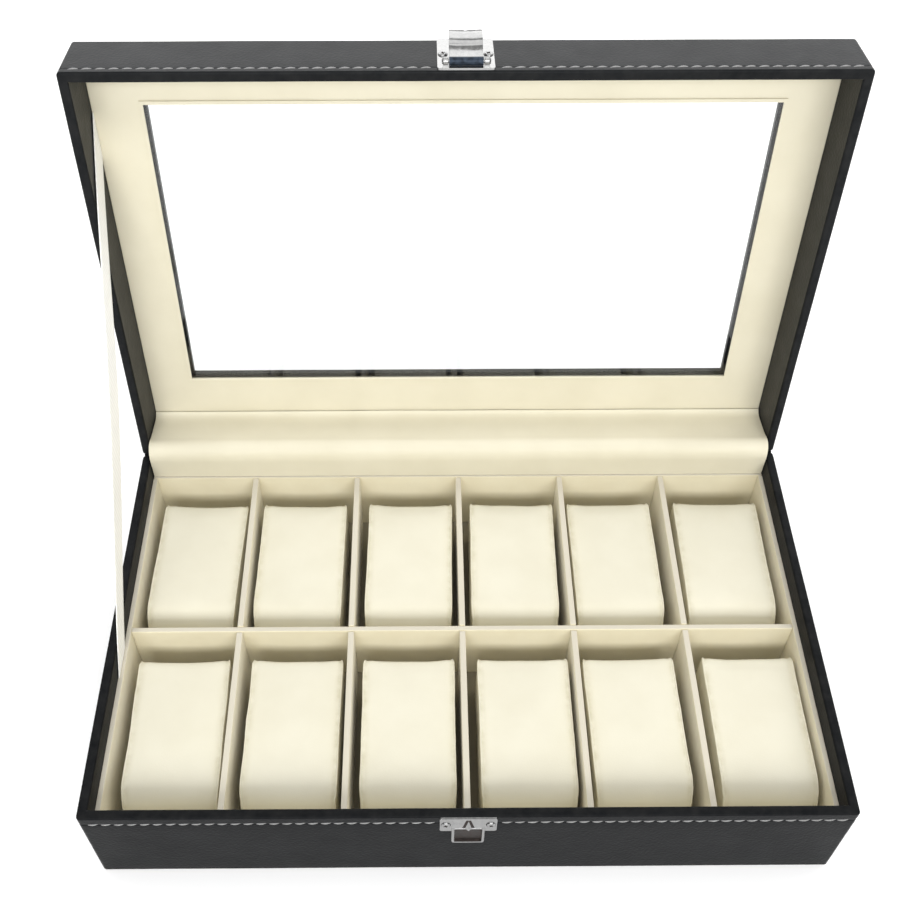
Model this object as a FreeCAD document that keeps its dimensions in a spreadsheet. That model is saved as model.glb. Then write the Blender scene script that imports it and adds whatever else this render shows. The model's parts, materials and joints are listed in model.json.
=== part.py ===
import FreeCAD, Part
import math
import os

import Sketcher

# A twelve-slot watch box: a leather-wrapped fibreboard base with a cream-lined tray and twelve loose
# watch pillows, and a leather-hinged lid with a glass window, a ribbon stay and a small hasp.
#
# Frame: X to the right, Y to the back, Z up, millimetres. The origin is the middle of the underside.
# Every lid part is drawn where it lies with the lid shut, in the box's own axes, and its Placement
# then swings it open about the hinge line, so the model stands with its lid open.

Vector = FreeCAD.Vector
doc = FreeCAD.newDocument("watch_box")

# ---------------------------------------------------------------------------------------------
# Driving dimensions
# ---------------------------------------------------------------------------------------------

DIMENSIONS = {
    # the case
    "box_width": 300,
    "box_depth": 185,
    "base_height": 50,
    "lid_height": 28,
    "lid_gap": 0.2,  # between the two rims when the lid is shut
    "lid_open_angle": 97,
    "board": 2.8,  # fibreboard under the leather
    "leather": 0.6,
    "corner_radius": 1.6,
    "felt": 0.8,
    "felt_inset": 1,
    "bottom_board": 3,
    # the tray
    "tray_card": 1.2,
    "tray_top": 40,
    "liner": 2,
    "divider": 2.5,
    "slot_clearance": 0.1,
    "columns": 6,
    # the watch pillows
    "pillow_width": 39.2,
    "pillow_length": 70,
    "pillow_top": 36.5,
    "pillow_lift": 0.2,  # air under a pillow that stands on the tray
    "pillow_front_roll": 13,
    "pillow_back_roll": 4.5,
    "pillow_edge": 1.5,
    "pillow_cover": 1,
    "front_row_middle": -46,
    "back_row_middle": 40.5,
    # the lid's top, from the outside in
    "top_board": 2,
    "glass": 2,
    "inner_frame": 3.4,
    "window_half_width": 124.6,
    "window_front": -69.2,
    "window_back": 63.2,
    "frame_step": 0.9,  # how far the inner frame's opening stands back from the window
    "glass_lap": 2,  # how far the glass reaches past the window, into the frame's rebate
    "glass_clearance": 0.3,
    # the hinge leathers and the ribbon stay
    "flap_half_width": 145.6,
    "flap_card": 0.9,
    "flap_off_wall": 0.25,
    "flap_above_liner": 0.3,
    "hinge_leather": 0.6,
    "hinge_leather_air": 0.05,
    "hinge_half_width": 149.4,
    "hinge_leg": 12,
    "ribbon": 0.4,
    "ribbon_width": 11,
    "ribbon_off_wall": 0.3,
    "ribbon_end_air": 0.3,
    "ribbon_foot": -17,
    "ribbon_head": -58,
    # the hasp on the lid and its keeper on the base
    "plate": 0.8,
    "hasp_half_width": 10.6,
    "hasp_low": 0.8,
    "hasp_high": 26.5,
    "hasp_screw_reach": 8.5,
    "hasp_screw_rise": 12.5,
    "pin_rise": 2.7,
    "pin_proud": 2.6,
    "pin_radius": 0.7,
    "pin_clearance": 0.05,
    "pin_head_radius": 1.1,
    "pin_head": 0.4,
    "knuckle_radius": 1.5,
    "knuckle_width": 2,
    "flap_half": 6.3,
    "flap_knuckle_gap": 0.3,
    "tongue": 0.7,
    "notch_width": 1.6,
    "notch_depth": 0.8,
    "flap_open_angle": 160,
    "keeper_half_width": 11,
    "keeper_low": 39,
    "keeper_high": 49.6,
    "keeper_screw_reach": 8.7,
    "keeper_screw_rise": 44.5,
    "catch_half_width": 6.4,
    "catch_low": 30,
    "catch_recess_top": 42.6,
    "catch_proud": 1.8,
    "catch_rim": 1,
    "catch_floor": 0.9,
    "nub_half_width": 1.6,
    "nub_low": 43.6,
    "nub_high": 47.6,
    "nub_proud": 2.9,
    "screw_radius": 1,
    "screw_length": 3,
    "screw_head_radius": 1.9,
    "screw_head": 0.7,
}

# How far each pillow lies off the middle of its compartment (mm) and how it is turned (degrees).
PILLOW_SHIFTS = {
    "front": (1.6, 1.2, 0.8, 1.4, -1.2, 1.5),
    "back": (0.9, -0.4, 0.9, 0.2, -1.6, 0.2),
}
PILLOW_TURNS = {
    "front": (0.6, -0.5, 0.0, 0.0, 0.6, -0.4),
    "back": (-1.2, -0.6, -0.9, -0.8, 0.3, -0.7),
}

# The cream flap's way over the hinge, from the inner frame to the base's back wall (mm). On the lid each
# point is (how far in front of the wall, how far below the inner frame), and over the hinge and on the
# base it is (how far behind the wall, how far above the rim).
FLAP_ON_LID = ((4.0, 0.65), (2.4, 2.0), (1.7, 5.0), (1.9, 12.5), (2.4, 18.5))
FLAP_ON_BASE = ((5.6, 8.0), (2.9, 7.6), (0.8, 5.6), (-0.1, 2.2), (0.0, -2.0))

# The side view of the hasp's tongue, as (how far behind its outer face, how far below the pin) (mm).
TONGUE_PROFILE = ((0.0, 0.0), (0.0, 9.4), (1.0, 10.6), (1.0, 14.2), (-0.3, 17.0))

sheet = doc.addObject("Spreadsheet::Sheet", "dims")


def fill_sheet():
    """One row per dimension: its name in column A, its value in column B, aliased to the name."""
    cells = dict(DIMENSIONS)
    for row, shifts in PILLOW_SHIFTS.items():
        for column, shift in enumerate(shifts, 1):
            cells[f"{row}_shift_{column}"] = shift
            cells[f"{row}_turn_{column}"] = PILLOW_TURNS[row][column - 1]
    for line, (alias, number) in enumerate(cells.items(), 1):
        sheet.set(f"A{line}", alias)
        sheet.set(f"B{line}", str(number))
        sheet.setAlias(f"B{line}", alias)
    doc.recompute()


fill_sheet()

# Lengths that follow from the driving ones, as expressions over the sheet.
HALF_X = "(dims.box_width / 2)"
HALF_Y = "(dims.box_depth / 2)"
WALL = "(dims.board + 2 * dims.leather)"
INNER_X = f"({HALF_X} - {WALL})"
INNER_Y = f"({HALF_Y} - {WALL})"
BOARD_OUT_X = f"({HALF_X} - dims.leather)"
BOARD_OUT_Y = f"({HALF_Y} - dims.leather)"
BOARD_IN_X = f"({INNER_X} + dims.leather)"
BOARD_IN_Y = f"({INNER_Y} + dims.leather)"
TRAY_X = f"({INNER_X} - dims.liner)"
TRAY_Y = f"({INNER_Y} - dims.liner)"
BASE_BOARD_TOP = "(dims.base_height - dims.leather)"
TRAY_FLOOR = "(dims.felt + dims.bottom_board)"
TRAY_LOW = f"({TRAY_FLOOR} + dims.tray_card)"
PITCH = f"((2 * {TRAY_X} + dims.divider) / dims.columns)"
LID_LOW = "(dims.base_height + dims.lid_gap)"
LID_BOARD_LOW = f"({LID_LOW} + dims.leather)"
LID_TOP = f"({LID_LOW} + dims.lid_height)"
TOP_BOARD_HIGH = f"({LID_TOP} - dims.leather)"
TOP_BOARD_LOW = f"({TOP_BOARD_HIGH} - dims.top_board)"
FRAME_LOW = f"({TOP_BOARD_LOW} - dims.inner_frame)"
FACE_Y = f"(-{HALF_Y})"


def value(expression):
    """The number that an expression over the sheet stands for."""
    return float(sheet.evalExpression(expression))


def bind(item, **expressions):
    """Ties an object's properties to the sheet; a dot in a property's name is written as two underscores."""
    for name, expression in expressions.items():
        item.setExpression(name.replace("__", "."), expression)


# ---------------------------------------------------------------------------------------------
# Placements: shut parts stay put, lid parts swing about the hinge, the flap swings about its pin
# ---------------------------------------------------------------------------------------------

TOLERANCE = 1e-6
SHUT = FreeCAD.Placement()
AXIS_X = Vector(1, 0, 0)
HINGE = Vector(0, value(HALF_Y), value("dims.base_height + dims.lid_gap / 2"))
LID_OPEN = FreeCAD.Placement(Vector(), FreeCAD.Rotation(AXIS_X, -value("dims.lid_open_angle")), HINGE)
PIN = Vector(0, value(f"{FACE_Y} - dims.pin_proud"), value(f"{LID_LOW} + dims.pin_rise"))
FLAP_TURN = FreeCAD.Placement(Vector(), FreeCAD.Rotation(AXIS_X, -value("dims.flap_open_angle")), PIN)
FLAP_OPEN = LID_OPEN.multiply(FLAP_TURN)


# ---------------------------------------------------------------------------------------------
# Ways of making a sub-part
# ---------------------------------------------------------------------------------------------

sub_parts = []


def finish(item, label, placement=SHUT):
    """Marks an object as a sub-part: its label names its file."""
    item.Label = label
    item.Placement = placement
    sub_parts.append(item)
    return item


def origin_plane(body, role):
    return next(f for f in body.Origin.OriginFeatures if f.Role == role)


def add_rectangle(sketch, rectangle):
    """A rectangle (low x, high x, low y, high y), each side bound to its expression."""
    x_low, x_high, y_low, y_high = (value(side) for side in rectangle)
    corners = [
        Vector(x_low, y_low, 0),
        Vector(x_high, y_low, 0),
        Vector(x_high, y_high, 0),
        Vector(x_low, y_high, 0),
    ]
    lines = []
    for start, end in zip(corners, corners[1:] + corners[:1]):
        lines.append(sketch.addGeometry(Part.LineSegment(start, end), False))
    for one, following in zip(lines, lines[1:] + lines[:1]):
        sketch.addConstraint(Sketcher.Constraint("Coincident", one, 2, following, 1))
    for number, line in enumerate(lines):
        direction = "Vertical" if number % 2 else "Horizontal"
        sketch.addConstraint(Sketcher.Constraint(direction, line))
    sides = (
        ("DistanceX", lines[0], x_low),
        ("DistanceX", lines[2], x_high),
        ("DistanceY", lines[0], y_low),
        ("DistanceY", lines[2], y_high),
    )
    for (kind, line, distance), expression in zip(sides, rectangle):
        made = sketch.addConstraint(Sketcher.Constraint(kind, -1, 1, line, 1, distance))
        sketch.setExpression(f"Constraints[{made}]", expression)


def add_sketch(body, low, rectangles):
    """A sketch of rectangles, parallel to the floor, at a height bound to an expression."""
    sketch = body.newObject("Sketcher::SketchObject", "outline")
    sketch.AttachmentSupport = (origin_plane(body, "XY_Plane"), "")
    sketch.MapMode = "FlatFace"
    bind(sketch, AttachmentOffset__Base__z=low)
    for rectangle in rectangles:
        add_rectangle(sketch, rectangle)
    return sketch


def padded_body(low, high, *rectangles):
    """A body that fills the first rectangle, less any others inside it, from low to high."""
    body = doc.addObject("PartDesign::Body", "body")
    pad = body.newObject("PartDesign::Pad", "pad")
    pad.Profile = add_sketch(body, low, rectangles)
    bind(pad, Length=f"{high} - {low}")
    doc.recompute()
    return body


def pocket(body, low, high, *rectangles):
    """Cuts the first rectangle, less any others inside it, out of the body from low to high."""
    before = body.Shape.Volume
    cut = body.newObject("PartDesign::Pocket", "pocket")
    cut.Profile = add_sketch(body, low, rectangles)
    cut.Reversed = True
    bind(cut, Length=f"{high} - {low}")
    doc.recompute()
    if body.Shape.Volume >= before:
        raise RuntimeError(f"a pocket in {body.Label} cuts nothing")


def fillet(body, radius, wanted):
    """Rounds the edges of the body's shape for which wanted(edge) is true."""
    base = body.Tip
    names = [f"Edge{n}" for n, edge in enumerate(base.Shape.Edges, 1) if wanted(edge)]
    rounding = body.newObject("PartDesign::Fillet", "fillet")
    rounding.Base = (base, names)
    bind(rounding, Radius=radius)
    doc.recompute()


def runs_along(edge, axis):
    """True for a straight edge parallel to the axis, 0 for X, 1 for Y and 2 for Z."""
    box = edge.BoundBox
    lengths = (box.XLength, box.YLength, box.ZLength)
    return all(length < TOLERANCE for n, length in enumerate(lengths) if n != axis)


def plate(label, rectangle, low, high, placement=SHUT):
    return finish(padded_body(low, high, rectangle), label, placement)


def block(x_low, x_high, y_low, y_high, z_low, z_high):
    """A Part box between two corners, each given as an expression."""
    box = doc.addObject("Part::Box", "block")
    bind(box, Length=f"{x_high} - ({x_low})", Width=f"{y_high} - ({y_low})", Height=f"{z_high} - ({z_low})")
    bind(box, Placement__Base__x=x_low, Placement__Base__y=y_low, Placement__Base__z=z_low)
    return box


def rod(radius, length, x="0", y="0", z="0", along=AXIS_X):
    """A Part cylinder that starts at a point and runs along an axis."""
    cylinder = doc.addObject("Part::Cylinder", "rod")
    bind(cylinder, Radius=radius, Height=length)
    cylinder.Placement.Rotation = FreeCAD.Rotation(Vector(0, 0, 1), along)
    bind(cylinder, Placement__Base__x=x, Placement__Base__y=y, Placement__Base__z=z)
    return cylinder


def fuse(*shapes):
    joined = doc.addObject("Part::MultiFuse", "joined")
    joined.Shapes = list(shapes)
    doc.recompute()
    return joined


def cut(base, *tools):
    result = doc.addObject("Part::Cut", "cut")
    result.Base = base
    result.Tool = tools[0] if len(tools) == 1 else fuse(*tools)
    doc.recompute()
    return result


def strip(path, thickness, x_low, x_high):
    """A bent sheet: a path of (y, z) points, thickened to both sides and drawn out along X."""
    points = [Vector(x_low, y, z) for y, z in path]
    directions = [(after - before).normalize() for before, after in zip(points, points[1:])]
    normals = [Vector(0, -d.z, d.y) for d in directions]
    sides = {1: [], -1: []}
    for number, point in enumerate(points):
        one = normals[max(number - 1, 0)]
        other = normals[min(number, len(normals) - 1)]
        mitre = (one + other) / (1 + one.dot(other))
        for side, line in sides.items():
            line.append(point + mitre * (side * thickness / 2))
    outline = sides[1] + sides[-1][::-1]
    face = Part.Face(Part.makePolygon(outline + outline[:1]))
    return face.extrude(Vector(x_high - x_low, 0, 0))


def feature(label, shape, placement=SHUT):
    """A bent sheet goes into a plain feature, because neither a sketch nor a primitive fits it."""
    item = doc.addObject("Part::Feature", label)
    item.Shape = shape
    return finish(item, label, placement)


# ---------------------------------------------------------------------------------------------
# The base: four boards and a bottom, wrapped in leather, on a felt
# ---------------------------------------------------------------------------------------------


def four_boards(prefix, low, high, placement):
    """Front and back boards at full width, and the side boards between them."""
    rectangles = {
        "front": (f"-{BOARD_OUT_X}", BOARD_OUT_X, f"-{BOARD_OUT_Y}", f"-{BOARD_IN_Y}"),
        "back": (f"-{BOARD_OUT_X}", BOARD_OUT_X, BOARD_IN_Y, BOARD_OUT_Y),
        "left": (f"-{BOARD_OUT_X}", f"-{BOARD_IN_X}", f"-{BOARD_IN_Y}", BOARD_IN_Y),
        "right": (BOARD_IN_X, BOARD_OUT_X, f"-{BOARD_IN_Y}", BOARD_IN_Y),
    }
    for side, rectangle in rectangles.items():
        plate(f"{prefix}_{side}_wall", rectangle, low, high, placement)


def centred(half_x, half_y):
    """A rectangle about the middle of the box."""
    return (f"-{half_x}", half_x, f"-{half_y}", half_y)


OUTSIDE = centred(HALF_X, HALF_Y)
INSIDE = centred(INNER_X, INNER_Y)
BOARDS_OUTSIDE = centred(BOARD_OUT_X, BOARD_OUT_Y)
BOARDS_INSIDE = centred(BOARD_IN_X, BOARD_IN_Y)


def round_corners(body):
    """Rounds the four upright corners of a leather wrap."""

    def at_corner(edge):
        middle = edge.BoundBox.Center
        far_x = abs(abs(middle.x) - value(HALF_X)) < TOLERANCE
        far_y = abs(abs(middle.y) - value(HALF_Y)) < TOLERANCE
        return runs_along(edge, 2) and far_x and far_y

    fillet(body, "dims.corner_radius", at_corner)


def base_case():
    four_boards("base", "dims.felt", BASE_BOARD_TOP, SHUT)
    plate("base_bottom_panel", INSIDE, "dims.felt", TRAY_FLOOR)
    felt = centred(f"({HALF_X} - dims.felt_inset)", f"({HALF_Y} - dims.felt_inset)")
    plate("base_underside_felt", felt, "0", "dims.felt")
    # The leather goes up the outside, over the rim and down the inside, round all four boards.
    wrap = padded_body("dims.felt", "dims.base_height", OUTSIDE, INSIDE)
    round_corners(wrap)
    pocket(wrap, "dims.felt", BASE_BOARD_TOP, BOARDS_OUTSIDE, BOARDS_INSIDE)
    finish(wrap, "base_leather_wrap")


# ---------------------------------------------------------------------------------------------
# The tray: a floor card, four liners and a lattice of half-lapped dividers
# ---------------------------------------------------------------------------------------------

LAP = f"(({TRAY_LOW} + dims.tray_top) / 2)"
HALF_DIVIDER = "(dims.divider / 2)"
HALF_SLOT = "(dims.divider / 2 + dims.slot_clearance)"


def about(middle, half):
    """The low and the high side of a rectangle, half its width away from its middle."""
    return (f"{middle} - {half}", f"{middle} + {half}")


def divider_x(number):
    """The middle of a column divider, numbered from 1 at the left."""
    return f"((dims.columns / 2 - {number}) * -{PITCH})"


def tray():
    plate("tray_floor", INSIDE, TRAY_FLOOR, TRAY_LOW)
    liners = {
        "front": (f"-{INNER_X}", INNER_X, f"-{INNER_Y}", f"-{TRAY_Y}"),
        "back": (f"-{INNER_X}", INNER_X, TRAY_Y, INNER_Y),
        "left": (f"-{INNER_X}", f"-{TRAY_X}", f"-{TRAY_Y}", TRAY_Y),
        "right": (TRAY_X, INNER_X, f"-{TRAY_Y}", TRAY_Y),
    }
    for side, rectangle in liners.items():
        plate(f"tray_liner_{side}", rectangle, TRAY_LOW, "dims.tray_top")

    # The row divider is slotted from below and each column divider from above.
    row = padded_body(TRAY_LOW, "dims.tray_top", centred(TRAY_X, HALF_DIVIDER))
    for number in range(1, int(value("dims.columns"))):
        middle = divider_x(number)
        row_slot = (*about(middle, HALF_SLOT), *about("0", "dims.divider"))
        pocket(row, TRAY_LOW, LAP, row_slot)
        column = padded_body(TRAY_LOW, "dims.tray_top", (*about(middle, HALF_DIVIDER), *about("0", TRAY_Y)))
        column_slot = (*about(middle, "dims.divider"), *about("0", HALF_SLOT))
        pocket(column, LAP, "dims.tray_top", column_slot)
        finish(column, f"column_divider_{number}")
    finish(row, "row_divider")


# ---------------------------------------------------------------------------------------------
# The watch pillows: a foam core in a sewn cover, long sides flat, ends rolled over
# ---------------------------------------------------------------------------------------------


def pillow_form(inset):
    """A pillow about its own bottom middle, drawn smaller on every side by the inset."""
    half_width = f"(dims.pillow_width / 2 - {inset})"
    half_length = f"(dims.pillow_length / 2 - {inset})"
    height = f"(dims.pillow_top - {TRAY_LOW} - dims.pillow_lift - {inset})"
    body = padded_body(inset, height, centred(half_width, half_length))
    top = value(height)

    def end_edge(at_front):
        def wanted(edge):
            middle = edge.BoundBox.Center
            return runs_along(edge, 0) and abs(middle.z - top) < TOLERANCE and (middle.y < 0) == at_front

        return wanted

    fillet(body, f"dims.pillow_front_roll - {inset}", end_edge(True))
    fillet(body, f"dims.pillow_back_roll - {inset}", end_edge(False))

    def long_top_edge(edge):
        box = edge.BoundBox
        at_side = box.XLength < TOLERANCE and abs(abs(box.Center.x) - value(half_width)) < TOLERANCE
        return at_side and box.ZMin > value(inset) + TOLERANCE

    fillet(body, f"dims.pillow_edge - {inset} / 2", long_top_edge)
    return body


def pillows():
    half_row = (value("dims.columns") - 1) / 2
    for row in PILLOW_SHIFTS:
        for column in range(1, int(value("dims.columns")) + 1):
            x = f"({column - 1 - half_row}) * {PITCH} + dims.{row}_shift_{column}"
            place = FreeCAD.Placement(
                Vector(value(x), value(f"dims.{row}_row_middle"), value(f"{TRAY_LOW} + dims.pillow_lift")),
                FreeCAD.Rotation(Vector(0, 0, 1), value(f"dims.{row}_turn_{column}")),
            )
            core = pillow_form("dims.pillow_cover")
            cover = cut(pillow_form("0"), pillow_form("dims.pillow_cover"))
            finish(core, f"pillow_core_{row}_{column}", place)
            finish(cover, f"watch_pillow_{row}_{column}", place)


# ---------------------------------------------------------------------------------------------
# The lid: four boards and a window board, wrapped in leather, with a glass and an inner frame
# ---------------------------------------------------------------------------------------------


def window(step):
    """The window opening, larger by a step on every side."""
    return (
        f"-(dims.window_half_width + {step})",
        f"dims.window_half_width + {step}",
        f"dims.window_front - ({step})",
        f"dims.window_back + {step}",
    )


def lid_case():
    four_boards("lid", LID_BOARD_LOW, TOP_BOARD_LOW, LID_OPEN)
    top_board = padded_body(TOP_BOARD_LOW, TOP_BOARD_HIGH, BOARDS_OUTSIDE, window("dims.leather"))
    finish(top_board, "lid_top_board", LID_OPEN)

    # One leather covers the outside, the rim, the inside of the walls and the window's edge.
    wrap = padded_body(LID_LOW, LID_TOP, OUTSIDE, window("0"))
    round_corners(wrap)
    pocket(wrap, LID_LOW, TOP_BOARD_LOW, INSIDE)
    pocket(wrap, LID_BOARD_LOW, TOP_BOARD_LOW, BOARDS_OUTSIDE, BOARDS_INSIDE)
    pocket(wrap, TOP_BOARD_LOW, TOP_BOARD_HIGH, BOARDS_OUTSIDE, window("dims.leather"))
    finish(wrap, "lid_leather_wrap", LID_OPEN)

    # The glass lies in a rebate of the inner frame, against the window board.
    glass_low = f"{TOP_BOARD_LOW} - dims.glass"
    frame = padded_body(FRAME_LOW, TOP_BOARD_LOW, INSIDE, window("dims.frame_step"))
    pocket(frame, glass_low, TOP_BOARD_LOW, window("(dims.glass_lap + dims.glass_clearance)"))
    finish(frame, "lid_inner_frame", LID_OPEN)
    plate("window_glass", window("dims.glass_lap"), glass_low, TOP_BOARD_LOW, LID_OPEN)


# ---------------------------------------------------------------------------------------------
# The leathers that cross the hinge, and the ribbon that holds the lid
# ---------------------------------------------------------------------------------------------


def opened(y, rise):
    """Where a point of the shut lid, y to the back and rise above its rim, lies with the lid open."""
    point = LID_OPEN.multVec(Vector(0, y, value(LID_LOW) + rise))
    return (point.y, point.z)


def inner_hinge_flap():
    """The cream flap starts on the inner frame, follows the lid's back wall out to the rims, bridges
    them in a loose fold and goes down the base's back wall to the top of the tray liner."""
    half_width = value("dims.flap_half_width")
    wall = value(f"{INNER_Y} - dims.flap_off_wall - dims.flap_card / 2")
    frame_rise = value(f"{FRAME_LOW} - {LID_LOW}")
    rim = value("dims.base_height")
    path = [opened(wall - front, frame_rise - below) for front, below in FLAP_ON_LID]
    path += [(wall + behind, rim + above) for behind, above in FLAP_ON_BASE]
    path.append((wall, value("dims.tray_top + dims.flap_above_liner")))
    feature("inner_hinge_flap", strip(path, value("dims.flap_card"), -half_width, half_width))


def outer_hinge_leather():
    """The black strip lies in the angle between the two back faces."""
    leather = value("dims.hinge_leather")
    half_width = value("dims.hinge_half_width")
    leg = value("dims.hinge_leg")
    off_face = leather / 2 + value("dims.hinge_leather_air")
    back = value(HALF_Y) + off_face
    corner_z = HINGE.z - off_face - value("dims.hinge_leather_air")
    lean = math.radians(value("dims.lid_open_angle") - 90)
    path = [
        (back, corner_z - leg),
        (back, corner_z),
        (back + leg * math.cos(lean), corner_z - leg * math.sin(lean)),
    ]
    feature("outer_hinge_leather", strip(path, leather, -half_width, half_width))


def ribbon_stay():
    """A flat ribbon beside the left wall, from the tray liner up to the lid's inner frame."""
    end_air = value("dims.ribbon_end_air")
    head_rise = value(f"{FRAME_LOW} - {LID_LOW}") - end_air
    foot = Vector(0, value("dims.ribbon_foot"), value("dims.tray_top") + end_air)
    head = Vector(0, *opened(value("dims.ribbon_head"), head_rise))
    run = (head - foot).normalize()
    across = Vector(0, -run.z, run.y)
    half_width = value("dims.ribbon_width") / 2
    # Each end is cut along what it meets: level at the foot, along the frame at the head.
    level = Vector(0, 1, 0) * (half_width / run.z)
    frame_line = LID_OPEN.Rotation.multVec(Vector(0, -1, 0))
    sloped = frame_line * (half_width / frame_line.dot(across))
    corners = [foot - level, foot + level, head - sloped, head + sloped]
    x = value(f"dims.ribbon_off_wall - {INNER_X}")
    outline = [Vector(x, corner.y, corner.z) for corner in corners]
    face = Part.Face(Part.makePolygon(outline + outline[:1]))
    feature("ribbon_stay", face.extrude(Vector(value("dims.ribbon"), 0, 0)))


# ---------------------------------------------------------------------------------------------
# The hasp on the lid and its keeper on the base
# ---------------------------------------------------------------------------------------------

PIN_Y = f"({FACE_Y} - dims.pin_proud)"
PIN_Z = f"({LID_LOW} + dims.pin_rise)"
TO_FRONT = Vector(0, -1, 0)
TO_BACK = Vector(0, 1, 0)


def screws(label, reach, z, placement):
    """Two round-headed screws, one each side of the middle, driven through a plate into the board."""
    head_y = f"({FACE_Y} - dims.plate)"
    pieces = []
    for side in ("-", ""):
        x = f"{side}{reach}"
        head = rod("dims.screw_head_radius", "dims.screw_head", x, head_y, z, TO_FRONT)
        shank = rod("dims.screw_radius", "dims.screw_length", x, head_y, z, TO_BACK)
        pieces += [head, shank]
    finish(fuse(*pieces), label, placement)


def screw_holes(reach, z):
    """Drills for the two screws, from in front of the plate to behind it."""
    start = f"({FACE_Y} - 2 * dims.plate)"
    holes = []
    for side in ("-", ""):
        holes.append(rod("dims.screw_radius", "2 * dims.plate", f"{side}{reach}", start, z, TO_BACK))
    return holes


def hasp_plate():
    front = f"({FACE_Y} - dims.plate)"
    low = f"({LID_LOW} + dims.hasp_low)"
    high = f"({LID_LOW} + dims.hasp_high)"
    back_plate = block("-dims.hasp_half_width", "dims.hasp_half_width", front, FACE_Y, low, high)
    pieces = [back_plate]
    inner = "(dims.flap_half + dims.flap_knuckle_gap)"
    for x in (inner, f"(-{inner} - dims.knuckle_width)"):
        pieces.append(rod("dims.knuckle_radius", "dims.knuckle_width", x, PIN_Y, PIN_Z))
        foot_low = f"({PIN_Z} - dims.knuckle_radius)"
        foot_high = f"({PIN_Z} + dims.knuckle_radius)"
        pieces.append(block(x, f"{x} + dims.knuckle_width", PIN_Y, front, foot_low, foot_high))
    bore = rod("dims.pin_radius", "2 * dims.hasp_half_width", "-dims.hasp_half_width", PIN_Y, PIN_Z)
    holes = screw_holes("dims.hasp_screw_reach", f"({LID_LOW} + dims.hasp_screw_rise)")
    finish(cut(fuse(*pieces), bore, *holes), "hasp_plate", LID_OPEN)

    pin_half = f"({inner} + dims.knuckle_width)"
    shaft = rod("dims.pin_radius", f"2 * {pin_half}", f"-{pin_half}", PIN_Y, PIN_Z)
    head = rod("dims.pin_head_radius", "dims.pin_head", pin_half, PIN_Y, PIN_Z)
    finish(fuse(shaft, head), "hasp_pin", LID_OPEN)


def hasp_flap():
    """The tongue hangs from its pin: a bulge that clears the nub, a step in, and a lip at the tip."""
    half = value("dims.flap_half")
    outer_face = PIN.y - value("dims.knuckle_radius - dims.tongue / 2")
    path = [(outer_face + behind, PIN.z - below) for behind, below in TONGUE_PROFILE]
    tongue = strip(path, value("dims.tongue"), -half, half)
    pin_line = (Vector(-half, PIN.y, PIN.z), AXIS_X)
    knuckle = Part.makeCylinder(value("dims.knuckle_radius"), 2 * half, *pin_line)
    bore = Part.makeCylinder(value("dims.pin_radius + dims.pin_clearance"), 2 * half, *pin_line)
    width = value("dims.notch_width")
    tip = tongue.BoundBox
    notch_corner = Vector(-width / 2, tip.YMin - 1, tip.ZMin - 1)
    notch = Part.makeBox(width, tip.YLength + 2, value("dims.notch_depth") + 1, notch_corner)
    flap = tongue.fuse(knuckle).cut(bore).cut(notch)
    feature("hasp_flap", flap.removeSplitter(), FLAP_OPEN)


def wedge(label, corners, half_width):
    """A solid with the given (y, z) side view, from -half_width to half_width."""
    outline = [Vector(-half_width, y, z) for y, z in corners]
    solid = doc.addObject("Part::Feature", label)
    side = Part.Face(Part.makePolygon(outline + outline[:1]))
    solid.Shape = side.extrude(Vector(2 * half_width, 0, 0))
    return solid


def keeper():
    """A plate with two screws, a hollowed catch below it for a fingertip, and a nub above the hollow."""
    plate_front = f"({FACE_Y} - dims.plate)"
    half_width = "dims.keeper_half_width"
    ears = block(f"-{half_width}", half_width, plate_front, FACE_Y, "dims.keeper_low", "dims.keeper_high")

    face = value(FACE_Y)
    front = face - value("dims.catch_proud")
    low = value("dims.catch_low")
    top = value("dims.keeper_high")
    shoulder = value("dims.catch_recess_top + dims.catch_rim")
    catch_side = [(face, low), (face, top), (value(plate_front), top), (front, shoulder), (front, low)]
    catch = wedge("catch", catch_side, value("dims.catch_half_width"))
    recess = block(
        "-(dims.catch_half_width - dims.catch_rim)",
        "dims.catch_half_width - dims.catch_rim",
        f"{FACE_Y} - 2 * dims.catch_proud",
        f"{FACE_Y} - dims.catch_floor",
        "dims.catch_low + dims.catch_rim",
        "dims.catch_recess_top",
    )

    nub_low = value("dims.nub_low")
    nub_side = [(face, nub_low), (face, value("dims.nub_high")), (face - value("dims.nub_proud"), nub_low)]
    nub = wedge("nub", nub_side, value("dims.nub_half_width"))
    holes = screw_holes("dims.keeper_screw_reach", "dims.keeper_screw_rise")
    finish(cut(fuse(ears, catch, nub), recess, *holes), "hasp_keeper")


def hardware():
    hasp_plate()
    hasp_flap()
    keeper()
    screws("hasp_screws", "dims.hasp_screw_reach", f"({LID_LOW} + dims.hasp_screw_rise)", LID_OPEN)
    screws("keeper_screws", "dims.keeper_screw_reach", "dims.keeper_screw_rise", SHUT)


# ---------------------------------------------------------------------------------------------
# Build, check and write
# ---------------------------------------------------------------------------------------------


def check_document():
    doc.recompute()
    for item in doc.Objects:
        if "Invalid" in item.State or "Error" in item.State:
            raise RuntimeError(f"{item.Label} failed: {item.State}")
    labels = [item.Label for item in sub_parts]
    if len(set(labels)) != len(labels):
        raise RuntimeError("two sub-parts share a label")
    for item in sub_parts:
        if item.Shape.isNull() or not item.Shape.isValid() or not item.Shape.Solids:
            raise RuntimeError(f"{item.Label} has no valid solid")


base_case()
tray()
pillows()
lid_case()
inner_hinge_flap()
outer_hinge_leather()
ribbon_stay()
hardware()
check_document()

os.makedirs("parts", exist_ok=True)
for item in sub_parts:
    item.Shape.exportStep(f"parts/{item.Label}.step")
print(f"{len(sub_parts)} sub-parts written")
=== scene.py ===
import json
import math
from itertools import combinations

import bmesh
import bpy
from mathutils import Matrix, Vector, noise


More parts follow.
